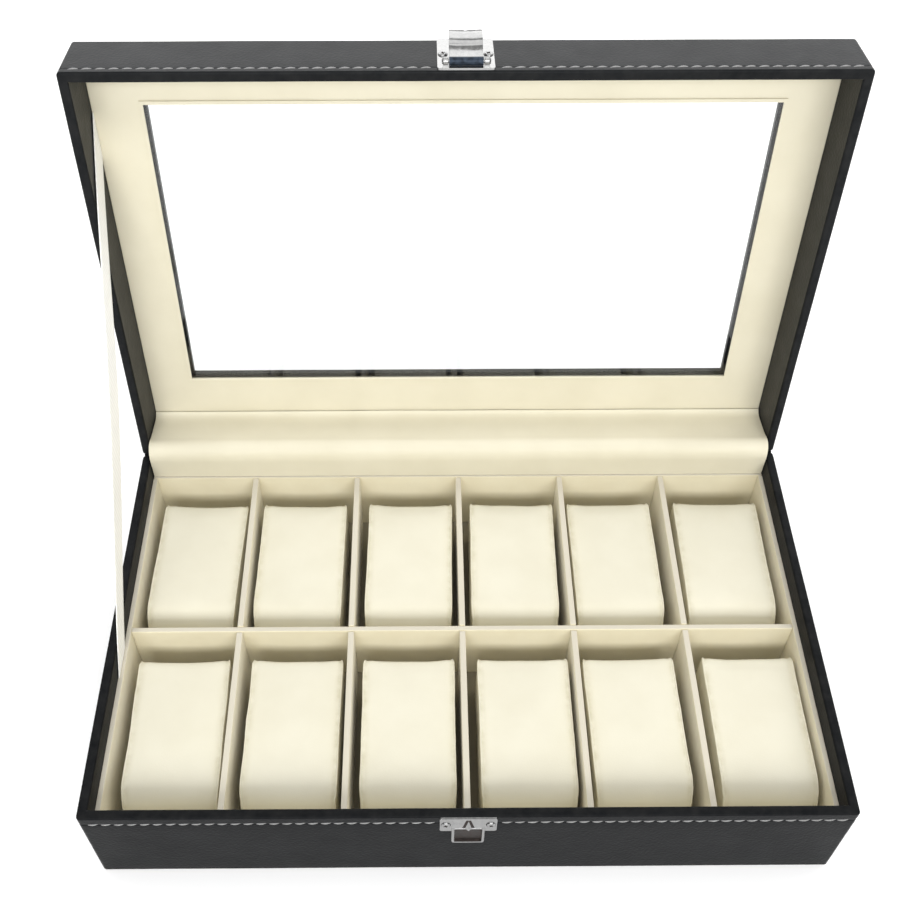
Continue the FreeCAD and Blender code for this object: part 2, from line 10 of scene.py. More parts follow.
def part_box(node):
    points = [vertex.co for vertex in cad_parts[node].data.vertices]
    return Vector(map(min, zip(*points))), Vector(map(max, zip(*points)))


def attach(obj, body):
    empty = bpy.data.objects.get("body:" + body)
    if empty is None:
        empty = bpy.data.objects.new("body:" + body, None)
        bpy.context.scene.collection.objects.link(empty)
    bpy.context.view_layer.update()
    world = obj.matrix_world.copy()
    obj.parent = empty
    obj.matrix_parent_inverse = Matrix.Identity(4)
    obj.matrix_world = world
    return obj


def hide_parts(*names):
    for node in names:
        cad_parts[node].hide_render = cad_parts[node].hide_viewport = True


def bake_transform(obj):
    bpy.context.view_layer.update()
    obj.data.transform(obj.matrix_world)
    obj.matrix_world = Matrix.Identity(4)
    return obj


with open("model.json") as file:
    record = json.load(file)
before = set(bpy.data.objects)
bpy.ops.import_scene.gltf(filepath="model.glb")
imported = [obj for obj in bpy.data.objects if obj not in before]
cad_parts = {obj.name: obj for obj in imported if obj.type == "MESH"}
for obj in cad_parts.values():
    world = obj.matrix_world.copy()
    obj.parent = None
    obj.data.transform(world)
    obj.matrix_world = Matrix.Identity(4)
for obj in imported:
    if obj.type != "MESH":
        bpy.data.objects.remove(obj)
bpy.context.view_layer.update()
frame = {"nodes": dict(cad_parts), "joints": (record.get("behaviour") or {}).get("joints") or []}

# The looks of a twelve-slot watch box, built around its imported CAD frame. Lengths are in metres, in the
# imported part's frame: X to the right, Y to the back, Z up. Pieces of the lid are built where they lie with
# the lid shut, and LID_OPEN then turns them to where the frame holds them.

MM = 0.001

# ---- Places that follow from the frame ----


def joint(name):
    return next(j for j in frame["joints"] if j["name"] == name)


def turned_open(name, about=None):
    """The matrix that opens a hinge from its shut end, about its axis at that end."""
    hinge = joint(name)
    point = Vector(about or hinge["pos_m"])
    angle = math.radians(hinge["range_deg"][0])
    return Matrix.Translation(point) @ Matrix.Rotation(angle, 4, "X") @ Matrix.Translation(-point)


LID_OPEN = turned_open("lid_hinge")
LID_SHUT = LID_OPEN.inverted()
HINGE = Vector(joint("lid_hinge")["pos_m"])
PIN = LID_SHUT @ Vector(joint("hasp_flap_hinge")["pos_m"])  # where the flap's pin is with the lid shut
FLAP_OPEN = LID_OPEN @ turned_open("hasp_flap_hinge", PIN)


def sides(low, high):
    """A rectangle as (low x, high x, low y, high y)."""
    return (low.x, high.x, low.y, high.y)


def shut_box(node):
    """The lowest and the highest corner that a lid node has with the lid shut."""
    points = [LID_SHUT @ v.co for v in frame["nodes"][node].data.vertices]
    low = Vector([min(p[k] for p in points) for k in range(3)])
    high = Vector([max(p[k] for p in points) for k in range(3)])
    return low, high


BASE_LOW, BASE_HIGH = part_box("base_leather_wrap")
LID_LOW, LID_HIGH = shut_box("lid_leather_wrap")
GLASS_LOW, GLASS_HIGH = shut_box("window_glass")
FRAME_LOW, FRAME_HIGH = shut_box("lid_inner_frame")
OUTSIDE = sides(BASE_LOW, BASE_HIGH)
INSIDE = sides(*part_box("base_bottom_panel"))
WALL = OUTSIDE[1] - INSIDE[1]
LEATHER = BASE_HIGH.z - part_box("base_front_wall")[1].z
TRAY_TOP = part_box("row_divider")[1].z
GLASS_OVER_WINDOW = 2 * MM  # how far the glass reaches past the window on every side
GLASS_CLEARANCE = 0.3 * MM
FRAME_STEP = 0.9 * MM  # how far the inner frame's opening stands back from the window
CORNER_RADIUS = 1.6 * MM


def inset(rectangle, distance):
    x_low, x_high, y_low, y_high = rectangle
    return (x_low + distance, x_high - distance, y_low + distance, y_high - distance)


WINDOW = inset(sides(GLASS_LOW, GLASS_HIGH), GLASS_OVER_WINDOW)

# ---- Materials ----


def add_node(tree, kind, inputs=None, **properties):
    """A shader node; each input is given a value, or linked if it is given another node's socket."""
    node = tree.nodes.new(kind)
    for name, setting in properties.items():
        setattr(node, name, setting)
    for name, given in (inputs or {}).items():
        if isinstance(given, bpy.types.NodeSocket):
            tree.links.new(given, node.inputs[name])
        else:
            node.inputs[name].default_value = given
    return node


def start_material(name, **sockets):
    """A material with plain values on its shader's sockets; a space in a socket's name is an underscore."""
    material = bpy.data.materials.new(name)
    material.use_nodes = True
    shader = material.node_tree.nodes["Principled BSDF"]
    for socket, given in sockets.items():
        shader.inputs[socket.replace("_", " ")].default_value = given
    where = add_node(material.node_tree, "ShaderNodeTexCoord").outputs["Object"]
    return material, material.node_tree, shader, where


def connect(tree, shader, colour, roughness, normal):
    for name, source in (("Base Color", colour), ("Roughness", roughness), ("Normal", normal)):
        tree.links.new(source, shader.inputs[name])


def speckle(tree, where, size, detail=3.0, roughness=0.5):
    """Noise whose lumps are about this size."""
    settings = {"Vector": where, "Scale": 1 / size, "Detail": detail, "Roughness": roughness}
    return add_node(tree, "ShaderNodeTexNoise", settings).outputs["Fac"]


def pebbles(tree, where, size):
    """The cells of a leather's grain, dark at their edges."""
    settings = {"Vector": where, "Scale": 1 / size, "Smoothness": 0.35}
    return add_node(tree, "ShaderNodeTexVoronoi", settings, feature="SMOOTH_F1").outputs["Distance"]


def remap(tree, source, low, high, to_low=0.0, to_high=1.0):
    settings = {"Value": source, "From Min": low, "From Max": high, "To Min": to_low, "To Max": to_high}
    return add_node(tree, "ShaderNodeMapRange", settings).outputs["Result"]


MIX_SHARE, MIX_ONE, MIX_OTHER, MIX_RESULT = 0, 6, 7, 2  # the colour sockets of a mix node


def blend_colours(tree, share, one, other):
    """A mix of two colours, each given as a value or as another node's socket."""
    one, other = (c if isinstance(c, bpy.types.NodeSocket) else (*c, 1.0) for c in (one, other))
    settings = {MIX_SHARE: share, MIX_ONE: one, MIX_OTHER: other}
    return add_node(tree, "ShaderNodeMix", settings, data_type="RGBA").outputs[MIX_RESULT]


def raise_surface(tree, height, depth, under=None):
    """A bump whose white stands this far above its black."""
    settings = {"Height": height, "Distance": depth, "Strength": 1.0}
    if under is not None:
        settings["Normal"] = under
    return add_node(tree, "ShaderNodeBump", settings).outputs["Normal"]


def leather(name, dark, light, wear_and_shade_colour, grain, grain_depth, roughness, **sockets):
    """Synthetic leather: pebbled grain over slow waves, mottled, with another colour where a vertex
    attribute asks for it: real wear on the case's leather, and painted shade along the pillows' seams.
    """
    material, tree, shader, where = start_material(name, **sockets)
    mottle = remap(tree, speckle(tree, where, 22 * MM, 4.0), 0.3, 0.7)
    colour = blend_colours(tree, mottle, dark, light)
    wear_and_shade = add_node(tree, "ShaderNodeAttribute", attribute_name="wear_and_shade").outputs["Fac"]
    scuffs = remap(tree, speckle(tree, where, 5 * MM, 5.0, 0.6), 0.35, 0.75)
    wear_and_shade_share = add_node(tree, "ShaderNodeMath", {0: wear_and_shade, 1: scuffs}, operation="MULTIPLY").outputs[0]
    colour = blend_colours(tree, wear_and_shade_share, colour, wear_and_shade_colour)
    gloss = remap(tree, speckle(tree, where, 9 * MM, 4.0), 0.3, 0.7, roughness - 0.02, roughness + 0.03)
    waves = raise_surface(tree, speckle(tree, where, 14 * MM, 2.0), 0.03 * MM)
    cells = raise_surface(tree, pebbles(tree, where, grain), grain_depth, waves)
    fine = raise_surface(tree, speckle(tree, where, 0.35 * grain, 2.0), 0.3 * grain_depth, cells)
    connect(tree, shader, colour, gloss, fine)
    return material


def lining(name, dark, light, edge):
    """The cream suede cloth on the tray's cards: fine nap, faint cloudiness, and faces that look up tinted
    toward the edge colour, which is painted shade.
    """
    coat = {"Sheen_Weight": 0.25, "Sheen_Roughness": 0.5, "Specular_IOR_Level": 0.2}
    material, tree, shader, where = start_material(name, **coat)
    cloud = remap(tree, speckle(tree, where, 12 * MM, 4.0), 0.3, 0.7)
    facing = add_node(tree, "ShaderNodeTexCoord").outputs["Normal"]
    upward = add_node(tree, "ShaderNodeSeparateXYZ", {"Vector": facing}).outputs["Z"]
    colour = blend_colours(tree, cloud, dark, light)
    # Painted shade: the faces that look up are toned toward the edge colour.
    tops_shaded = blend_colours(tree, remap(tree, upward, 0.6, 0.95), colour, edge)
    nap = speckle(tree, where, 0.5 * MM, 4.0, 0.7)
    rough = remap(tree, nap, 0.3, 0.7, 0.78, 0.95)
    connect(tree, shader, tops_shaded, rough, raise_surface(tree, nap, 0.06 * MM))
    return material


def fibrous(name, fibres, dark, light, rough, depth, **sockets):
    """A material whose fibres, given as a noise's (size, detail, roughness), drive all that it shows."""
    material, tree, shader, where = start_material(name, **sockets)
    noise_value = speckle(tree, where, *fibres)
    colour = blend_colours(tree, remap(tree, noise_value, 0.3, 0.7), dark, light)
    roughness = remap(tree, noise_value, 0.3, 0.7, *rough)
    connect(tree, shader, colour, roughness, raise_surface(tree, noise_value, depth))
    return material


def chrome():
    """Polished plate with faint handling marks and a slightly uneven pressed surface."""
    material, tree, shader, where = start_material("chrome", Metallic=1.0)
    marks = speckle(tree, where, 1.5 * MM, 6.0, 0.7)
    colour = blend_colours(tree, remap(tree, marks, 0.3, 0.7), (0.28, 0.28, 0.28), (0.36, 0.36, 0.355))
    uneven = raise_surface(tree, speckle(tree, where, 4 * MM, 2.0), 0.05 * MM)
    connect(tree, shader, colour, remap(tree, marks, 0.35, 0.7, 0.10, 0.24), uneven)
    return material


def dark_metal(name, dark, light):
    """The unpolished inside of a pressed hollow, its colour darkened as painted shade."""
    material, tree, shader, where = start_material(name, Metallic=0.6, Specular_IOR_Level=0.3)
    stain = remap(tree, speckle(tree, where, 1.8 * MM, 4.0), 0.3, 0.7)
    colour = blend_colours(tree, stain, dark, light)
    rough = remap(tree, stain, 0.0, 1.0, 0.35, 0.55)
    connect(tree, shader, colour, rough, raise_surface(tree, stain, 0.04 * MM))
    return material


def clear_glass():
    clear = {"Transmission_Weight": 1.0, "IOR": 1.45, "Base_Color": (0.97, 0.985, 0.98, 1.0)}
    material, tree, shader, where = start_material("window_glass", **clear)
    smears = remap(tree, speckle(tree, where, 30 * MM, 3.0), 0.4, 0.8, 0.0, 0.02)
    tree.links.new(smears, shader.inputs["Roughness"])
    return material


def ribbon_satin():
    """A satin ribbon: ribs along its length, each a lighter thread."""
    satin = {"Sheen_Weight": 0.4, "Specular_IOR_Level": 0.4, "Anisotropic": 0.4}
    material, tree, shader, where = start_material("ribbon_satin", **satin)
    ribs = {"Vector": where, "Scale": 1 / (6.0 * MM), "Distortion": 0.6, "Detail": 2.0}
    along = add_node(tree, "ShaderNodeTexWave", ribs, bands_direction="Y").outputs["Fac"]
    colour = blend_colours(tree, along, (0.86, 0.85, 0.80), (0.95, 0.945, 0.91))
    rough = remap(tree, along, 0.0, 1.0, 0.35, 0.5)
    connect(tree, shader, colour, rough, raise_surface(tree, along, 0.04 * MM))
    return material


def black_leather(name, shine):
    """The case's leather, in copies that differ only in how strongly they reflect: the base's weaker
    reflection is painted shade and the lid's stronger one painted light.
    """
    return leather(
        name,
        dark=(0.0050, 0.0054, 0.0060),
        light=(0.0075, 0.0080, 0.0088),
        wear_and_shade_colour=(0.015, 0.015, 0.015),
        grain=1.1 * MM,
        grain_depth=0.05 * MM,
        roughness=0.35,
        Specular_IOR_Level=shine,
        Specular_Tint=(0.90, 0.96, 1.0, 1.0),
    )


# One leather in two copies: the base's reflects less, as painted shade; the lid's reflects more, as painted
# light.
BASE_BLACK = black_leather("base_black_leather", 0.045)
LID_BLACK = black_leather("lid_black_leather", 0.095)
CREAM = leather(
    "cream_leather",
    dark=(0.690, 0.645, 0.495),
    light=(0.730, 0.685, 0.535),
    wear_and_shade_colour=(0.80, 0.76, 0.62),
    grain=0.7 * MM,
    grain_depth=0.018 * MM,
    roughness=0.52,
    Specular_IOR_Level=0.35,
)
PILLOW = leather(
    "pillow_leather",
    dark=(0.660, 0.627, 0.500),
    light=(0.695, 0.665, 0.540),
    # A darker olive, painted shade along the seams.
    wear_and_shade_colour=(0.50, 0.46, 0.31),
    grain=0.6 * MM,
    grain_depth=0.015 * MM,
    roughness=0.50,
    Specular_IOR_Level=0.35,
    Sheen_Weight=0.1,
)
# edge is the colour of the painted shade on the faces that look up.
LINING = lining(
    "tray_lining",
    dark=(0.745, 0.680, 0.490),
    light=(0.790, 0.730, 0.540),
    edge=(0.59, 0.55, 0.45),
)
# A dark lining for the tray's floor, which paints deep shade into the gaps between the pillows; the floor's
# own colour is not known.
SHADE_DARKENED_FLOOR_LINING = lining(
    "tray_floor_lining_shade_darkened",
    dark=(0.26, 0.23, 0.16),
    light=(0.31, 0.28, 0.20),
    edge=(0.28, 0.25, 0.18),
)
BOARD = fibrous(
    "fibreboard",
    (1.2 * MM, 6.0, 0.7),
    dark=(0.33, 0.22, 0.13),
    light=(0.50, 0.36, 0.23),
    rough=(0.75, 0.95),
    depth=0.08 * MM,
    Specular_IOR_Level=0.2,
)
FELT = fibrous(
    "felt",
    (0.7 * MM, 6.0, 0.75),
    dark=(0.012, 0.012, 0.013),
    light=(0.035, 0.035, 0.037),
    rough=(0.85, 1.0),
    depth=0.12 * MM,
    Sheen_Weight=0.3,
    Specular_IOR_Level=0.1,
)
THREAD = fibrous(
    "thread",
    (0.5 * MM, 4.0),
    dark=(0.22, 0.22, 0.22),
    light=(0.36, 0.36, 0.355),
    rough=(0.55, 0.8),
    depth=0.08 * MM,
    Sheen_Weight=0.3,
    Specular_IOR_Level=0.3,
)
CHROME = chrome()
# Painted shade for the hollows of the keeper and the screws.
DARK_METAL = dark_metal("dark_metal", dark=(0.012, 0.010, 0.009), light=(0.045, 0.034, 0.030))
# Painted shade and dark reflection on and under the hasp's flap, in a bluish dark.
BLUE_SHADE_METAL = dark_metal("blue_painted_shade_metal", dark=(0.008, 0.012, 0.020), light=(0.040, 0.055, 0.080))
GLASS = clear_glass()
RIBBON = ribbon_satin()

# ---- Ways of making a piece ----

SHARP = math.radians(40)


def new_piece(name, bm, material, matrix=None):
    """A smooth-shaded object from a bmesh, with faces that meet at more than SHARP kept apart."""
    bmesh.ops.recalc_face_normals(bm, faces=bm.faces)
    mesh = bpy.data.meshes.new(name)
    bm.to_mesh(mesh)
    bm.free()
    if matrix is not None:
        mesh.transform(matrix)
    mesh.shade_smooth()
    mesh.set_sharp_from_angle(angle=SHARP)
    mesh.materials.append(material)
    piece = bpy.data.objects.new(name, mesh)
    bpy.context.scene.collection.objects.link(piece)
    return piece


def weigh_normals(piece):
    """Lets broad faces set the shading next to narrow roundings."""
    piece.modifiers.new("weighted normals", "WEIGHTED_NORMAL").keep_sharp = True


CORNER_STEPS = 6
SIDE_CUTS = (30, 18)  # along X and along Y
FOLD = 0.25 * MM  # the corner radius of a fold and of a cut edge


def ring(rectangle, z, radius=FOLD):
    """Points round a rectangle with rounded corners, equally many for every rectangle."""
    x_low, x_high, y_low, y_high = rectangle
    corners = (
        (x_high - radius, y_low + radius, -90, SIDE_CUTS[1]),
        (x_high - radius, y_high - radius, 0, SIDE_CUTS[0]),
        (x_low + radius, y_high - radius, 90, SIDE_CUTS[1]),
        (x_low + radius, y_low + radius, 180, SIDE_CUTS[0]),
    )
    arcs = []
    for x, y, start, _ in corners:
        angles = [math.radians(start + 90 * step / CORNER_STEPS) for step in range(CORNER_STEPS + 1)]
        arcs.append([Vector((x + radius * math.cos(a), y + radius * math.sin(a), z)) for a in angles])
    points = []
    for number, (arc, corner) in enumerate(zip(arcs, corners)):
        points += arc
        following = arcs[(number + 1) % 4][0]
        cuts = corner[3]
        points += [arc[-1].lerp(following, step / cuts) for step in range(1, cuts)]
    return points


def loft(bm, rings, closed=False):
    """Faces between rings of equally many points; closed joins the last ring to the first."""
    layers = [[bm.verts.new(point) for point in points] for points in rings]
    pairs = list(zip(layers, layers[1:]))
    if closed:
        pairs.append((layers[-1], layers[0]))
    for lower, upper in pairs:
        for n, vertex in enumerate(lower):
            after = (n + 1) % len(lower)
            bm.faces.new((vertex, lower[after], upper[after], upper[n]))
    return layers


def capped(bm, rings):
    """A loft closed at both ends: its layers of vertices and its last face."""
    layers = loft(bm, rings)
    bm.faces.new(layers[0][::-1])
    return layers, bm.faces.new(layers[-1])


def skin(bm, rows):
    """Faces between neighbouring rows of vertices."""
    for row, following in zip(rows, rows[1:]):
        for n in range(len(row) - 1):
            bm.faces.new((row[n], following[n], following[n + 1], row[n + 1]))


def quarter(inward, z, radius, start, end, steps=5):
    """A round of a profile, as (inward, z) points about its middle, angles in degrees."""
    angles = [math.radians(start + (end - start) * step / steps) for step in range(steps + 1)]
    return [(inward + radius * math.cos(a), z + radius * math.sin(a)) for a in angles]


def between(start, end, share):
    return tuple(s + (e - s) * share for s, e in zip(start, end))


def with_steps(profile, spacing):
    """A profile with points added, so that no two lie further apart than the spacing."""
    points = [profile[0]]
    for before, after in zip(profile, profile[1:]):
        count = max(1, math.ceil(math.dist(before, after) / spacing))
        points += [between(before, after, step / count) for step in range(1, count + 1)]
    return points


def paint_wear(piece, share_at):
    """Stores how worn the leather is at each vertex, from 0 to 1."""
    layer = piece.data.attributes.new("wear_and_shade", "FLOAT", "POINT")
    layer.data.foreach_set("value", [share_at(v.co) for v in piece.data.vertices])


def unevenness(point, size, amount):
    """A slow, repeatable wave through space, up to about the amount."""
    return amount * noise.noise(point / size)


# ---- The leather over the base and the lid ----

RIM_ROUND = 0.9 * MM
STITCH_GROOVE = 0.9 * MM  # half the width of the channel that the stitches lie in
GROOVE_DEPTH = 0.22 * MM
BASE_STITCH_Z = BASE_HIGH.z - 5.3 * MM
LID_STITCH_Z = LID_LOW.z + 3.4 * MM
LEATHER_STEP = 7 * MM
LEATHER_WAVE = 0.07 * MM
WORN_EDGE = 1.6 * MM  # how far from an edge the wear reaches
GLUE = 0.02 * MM  # between the board and the hem turned under it


def groove(z):
    """The stitch channel in the outer face, going up."""
    bed = STITCH_GROOVE / 4
    bottom = [(GROOVE_DEPTH, z - bed), (GROOVE_DEPTH, z + bed)]
    return [(0, z - STITCH_GROOVE), *bottom, (0, z + STITCH_GROOVE)]


def profile_rings(profile):
    """Rings for the profile's points (inward, z); a corner's radius shrinks as it goes inward."""
    rings = []
    for inward, z in profile:
        radius = max(CORNER_RADIUS - inward, FOLD)
        rings.append(ring(inset(OUTSIDE, inward), z, radius))
    return rings


def leather_shell(rings, wave=LEATHER_WAVE):
    """A closed shell through the rings, with the slow waves that leather has over board."""
    bm = bmesh.new()
    loft(bm, rings, closed=True)
    bmesh.ops.recalc_face_normals(bm, faces=bm.faces)
    bm.normal_update()
    for vertex in bm.verts:
        vertex.co += vertex.normal * unevenness(vertex.co, 26 * MM, wave)
    return bm


def edge_wear(rim_z, high_z):
    """Wear at the rim, along the upright corners and round the top."""

    def share(point):
        from_rim = abs(point.z - rim_z)
        from_top = abs(point.z - high_z)
        x_edge = min(abs(point.x - OUTSIDE[0]), abs(point.x - OUTSIDE[1]))
        y_edge = min(abs(point.y - OUTSIDE[2]), abs(point.y - OUTSIDE[3]))
        corner = max(x_edge, y_edge)
        nearest = min(from_rim, corner, max(from_top, min(x_edge, y_edge)))
        return max(0.0, 1.0 - nearest / WORN_EDGE)

    return share


def base_leather():
    rim = BASE_HIGH.z
    low = BASE_LOW.z
    outer = [(0.3 * MM, low), (0, low + 0.3 * MM), *groove(BASE_STITCH_Z)]
    outer += quarter(RIM_ROUND, rim - RIM_ROUND, RIM_ROUND, 180, 90)
    outer += quarter(WALL - RIM_ROUND, rim - RIM_ROUND, RIM_ROUND, 90, 0)
    outer += [(WALL, TRAY_TOP - MM), (WALL, low)]
    under = rim - LEATHER
    inner = [(WALL - LEATHER, low), (WALL - LEATHER, under), (LEATHER, under), (LEATHER, low)]
    bm = leather_shell(profile_rings(with_steps(outer, LEATHER_STEP)) + profile_rings(inner))
    piece = new_piece("base_leather", bm, BASE_BLACK)
    paint_wear(piece, edge_wear(rim, low))
    weigh_normals(piece)
    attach(piece, "base")
    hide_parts("base_leather_wrap")


TOP_ROUND = 1.2 * MM
WINDOW_ROUND = 0.5 * MM
HEM = 0.2 * MM  # the leather turned under the board round the window, pressed thin by the glass
TOP_STEPS = 5


def level_rings(start, end, z):
    """Rings over a level face, from one rectangle to another."""
    return [ring(between(start, end, step / TOP_STEPS), z) for step in range(TOP_STEPS + 1)]


def stepped_rings(rectangle, profile):
    """Rings for the (inward, z) points after the first."""
    return [ring(inset(rectangle, inward), z) for inward, z in profile[1:]]


def lid_leather():
    rim = LID_LOW.z
    top = LID_HIGH.z
    board_low = FRAME_HIGH.z
    walls = [(WALL, board_low)]
    walls += quarter(WALL - RIM_ROUND, rim + RIM_ROUND, RIM_ROUND, 0, -90)
    walls += quarter(RIM_ROUND, rim + RIM_ROUND, RIM_ROUND, -90, -180)
    walls += groove(LID_STITCH_Z)
    walls += quarter(TOP_ROUND, top - TOP_ROUND, TOP_ROUND, 180, 90)
    rings = profile_rings(with_steps(walls, LEATHER_STEP))

    # Across the top to the window, and down the window's edge.
    edge = inset(WINDOW, -WINDOW_ROUND)
    rings += level_rings(inset(OUTSIDE, TOP_ROUND), edge, top)[1:]
    rings += stepped_rings(edge, quarter(0, top - WINDOW_ROUND, WINDOW_ROUND, 90, 0, 3))

    # The hem turned under the board, then back along the boards, a leather's thickness inside.
    hem_end = inset(WINDOW, 0.1 * MM - GLASS_OVER_WINDOW - GLASS_CLEARANCE)
    boards = (inset(WINDOW, -LEATHER), inset(OUTSIDE, LEATHER), inset(OUTSIDE, WALL - LEATHER))
    for rectangle, z in (
        (WINDOW, board_low - HEM),
        (hem_end, board_low - HEM),
        (hem_end, board_low - GLUE),
        (boards[0], board_low - GLUE),
        (boards[0], top - LEATHER),
        (boards[1], top - LEATHER),
        (boards[1], rim + LEATHER),
        (boards[2], rim + LEATHER),
        (boards[2], board_low),
    ):
        rings.append(ring(rectangle, z))
    bm = leather_shell(rings)
    piece = new_piece("lid_leather", bm, LID_BLACK)
    paint_wear(piece, edge_wear(rim, top))
    piece.data.transform(LID_OPEN)
    weigh_normals(piece)
    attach(piece, "lid")
    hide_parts("lid_leather_wrap")


# ---- Stitching: single stitches of thick thread, each arched out of its channel ----

STITCH_PITCH = 4.9 * MM
STITCH_LENGTH = 4.6 * MM
STITCH_RADIUS = 0.36 * MM
STITCH_SLANT = 0.36 * MM
STITCH_RINGS = 8
STITCH_SIDES = 7
STITCH_RISE = 1.1  # how far its middle rises above its ends, and how deep those lie, both in its radii
STITCH_DEPTH = 0.75
STITCH_ENDS = 0.55  # how thick its ends are, as a share of its middle


def stitch(bm, middle, along, outward):
    """One stitch: a tube that comes out of the leather, arches over it and goes back in."""
    across = outward.cross(along)
    rings = []
    for step in range(STITCH_RINGS + 1):
        share = step / STITCH_RINGS
        swing = math.sin(math.pi * share)
        centre = middle + (along * STITCH_LENGTH + across * (2 * STITCH_SLANT)) * (share - 0.5)
        centre += outward * (STITCH_RADIUS * (STITCH_RISE * swing - STITCH_DEPTH))
        radius = STITCH_RADIUS * (STITCH_ENDS + (1 - STITCH_ENDS) * swing)
        angles = [math.tau * side / STITCH_SIDES for side in range(STITCH_SIDES)]
        rings.append([centre + (across * math.cos(a) + outward * math.sin(a)) * radius for a in angles])
    capped(bm, rings)


def stitch_line(bm, start, end, outward, gap=0.0):
    """Stitches from start to end, leaving out those within the gap of the line's middle."""
    run = end - start
    along = run.normalized()
    count = int(run.length / STITCH_PITCH)
    for number in range(count):
        distance = (number + 0.5) * run.length / count
        if abs(distance - run.length / 2) < gap:
            continue
        wander = unevenness(start + along * distance, 9 * MM, 0.10 * MM)
        stitch(bm, start + along * distance + Vector((0, 0, wander)), along, outward)


def stitching(name, z, gap, body, matrix=None):
    """A line along the front and one along each side."""
    x_low, x_high, y_low, y_high = OUTSIDE
    end = 3.2 * MM
    back = 5 * MM
    bm = bmesh.new()
    ends = [Vector((x, y_low + GROOVE_DEPTH, z)) for x in (x_low + end, x_high - end)]
    stitch_line(bm, *ends, Vector((0, -1, 0)), gap)
    for x, outward in ((x_low, Vector((-1, 0, 0))), (x_high, Vector((1, 0, 0)))):
        face = x - outward.x * GROOVE_DEPTH
        stitch_line(bm, Vector((face, y_low + end, z)), Vector((face, y_high - back, z)), outward)
    piece = new_piece(name, bm, THREAD, matrix=matrix)
    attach(piece, body)


# ---- The cream frame inside the lid, and the glass ----

FRAME_ROUND = 0.6 * MM


def lid_frame():
    low, high = FRAME_LOW.z, FRAME_HIGH.z
    outside = sides(FRAME_LOW, FRAME_HIGH)
    opening = inset(WINDOW, -FRAME_STEP)
    lip = inset(opening, -FRAME_ROUND)
    rebate = inset(sides(GLASS_LOW, GLASS_HIGH), -GLASS_CLEARANCE)
    edge = 0.3 * MM
    bed = GLASS_LOW.z - 0.05 * MM
    rings = [ring(outside, high), ring(outside, low + edge), *level_rings(inset(outside, edge), lip, low)]
    rings += stepped_rings(lip, quarter(0, low + FRAME_ROUND, FRAME_ROUND, -90, 0, 4))
    rings += [ring(opening, bed), ring(rebate, bed), ring(rebate, high)]
    bm = leather_shell(rings, 0.05 * MM)
    piece = new_piece("lid_frame_cover", bm, CREAM, LID_OPEN)
    weigh_normals(piece)
    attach(piece, "lid")
    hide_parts("lid_inner_frame")


def glass():
    """The pane with ground edges. It casts no shadow, so that the lamps light what lies behind it."""
    rectangle = sides(GLASS_LOW, GLASS_HIGH)
    low, high = GLASS_LOW.z, GLASS_HIGH.z - HEM
    ground = 0.3 * MM
    rings = [
        ring(inset(rectangle, ground), low, MM),
        ring(rectangle, low + ground, MM),
        ring(rectangle, high - ground, MM),
        ring(inset(rectangle, ground), high, MM),
    ]
    bm = bmesh.new()
    capped(bm, rings)
    piece = new_piece("window_pane", bm, GLASS, LID_OPEN)
    piece.data.shade_flat()
    piece.visible_shadow = False
    piece.visible_diffuse = False
    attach(piece, "lid")
    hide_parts("window_glass")


# ---- Sheets across the hinge: the cream flap inside, the black leather outside, and the ribbon ----


def opened(y, z):
    """Where a point of the shut lid lies with the lid open, as (y, z)."""
    point = LID_OPEN @ Vector((0, y, z))
    return (point.y, point.z)


def cut_corners(path, rounds):
    """A smoother line with the same ends, by cutting its corners again and again."""
    for _ in range(rounds):
        smoother = [path[0]]
        for before, after in zip(path, path[1:]):
            smoother += [between(before, after, 0.25), between(before, after, 0.75)]
        path = smoother + [path[-1]]
    return path


def path_length(path):
    return sum(math.dist(before, after) for before, after in zip(path, path[1:]))


def hinge_sheet(path, x_low, x_high, cuts, wave):
    """A sheet drawn out along X from a (y, z) path, as a single layer that a modifier thickens."""
    bm = bmesh.new()
    rows = []
    for cut in range(cuts + 1):
        x = x_low + (x_high - x_low) * cut / cuts
        row = []
        for number, (y, z) in enumerate(path):
            share = number / (len(path) - 1)
            slack = math.sin(math.pi * share) * unevenness(Vector((x, y * 2, z)), 34 * MM, wave)
            row.append(bm.verts.new((x, y - slack, z + slack)))
        rows.append(row)
    skin(bm, rows)
    return bm


def round_edges(piece, width, segments, sharpest):
    """Rounds the edges whose faces turn by more than an angle in degrees."""
    rounding = piece.modifiers.new("rounded edges", "BEVEL")
    rounding.width = width
    rounding.segments = segments
    rounding.limit_method = "ANGLE"
    rounding.angle_limit = math.radians(sharpest)


def thicken(piece, thickness, round_edge):
    solid = piece.modifiers.new("thickness", "SOLIDIFY")
    solid.thickness = thickness
    solid.offset = 0
    round_edges(piece, round_edge, 2, 60)


# The flap's path, in millimetres: on the lid as (before the wall, under the frame), and on the base as
# (behind the wall, over the rim).
FLAP_ON_LID = ((4.0, 0.65), (2.4, 2.0), (1.7, 5.0), (1.9, 12.5), (2.4, 18.5))
FLAP_ON_BASE = ((5.6, 8.0), (2.9, 7.6), (0.8, 5.6), (-0.1, 2.2), (0.0, -2.0))


def inner_flap():
    """The cream leather over the hinge, inside: off the lid's frame, over the rims, down to the tray."""
    low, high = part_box("inner_hinge_flap")
    thickness = 0.9 * MM
    wall = INSIDE[3] - 0.25 * MM - thickness / 2
    rim = BASE_HIGH.z
    path = [opened(wall - before * MM, FRAME_LOW.z - under * MM) for before, under in FLAP_ON_LID]
    path += [(wall + behind * MM, rim + over * MM) for behind, over in FLAP_ON_BASE]
    path = cut_corners(path + [(wall, TRAY_TOP + 0.3 * MM)], 3)
    bm = hinge_sheet(path, low.x, high.x, 60, 0.35 * MM)
    piece = new_piece("inner_flap", bm, CREAM)
    thicken(piece, thickness, 0.25 * MM)
    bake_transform(piece)
    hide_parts("inner_hinge_flap")


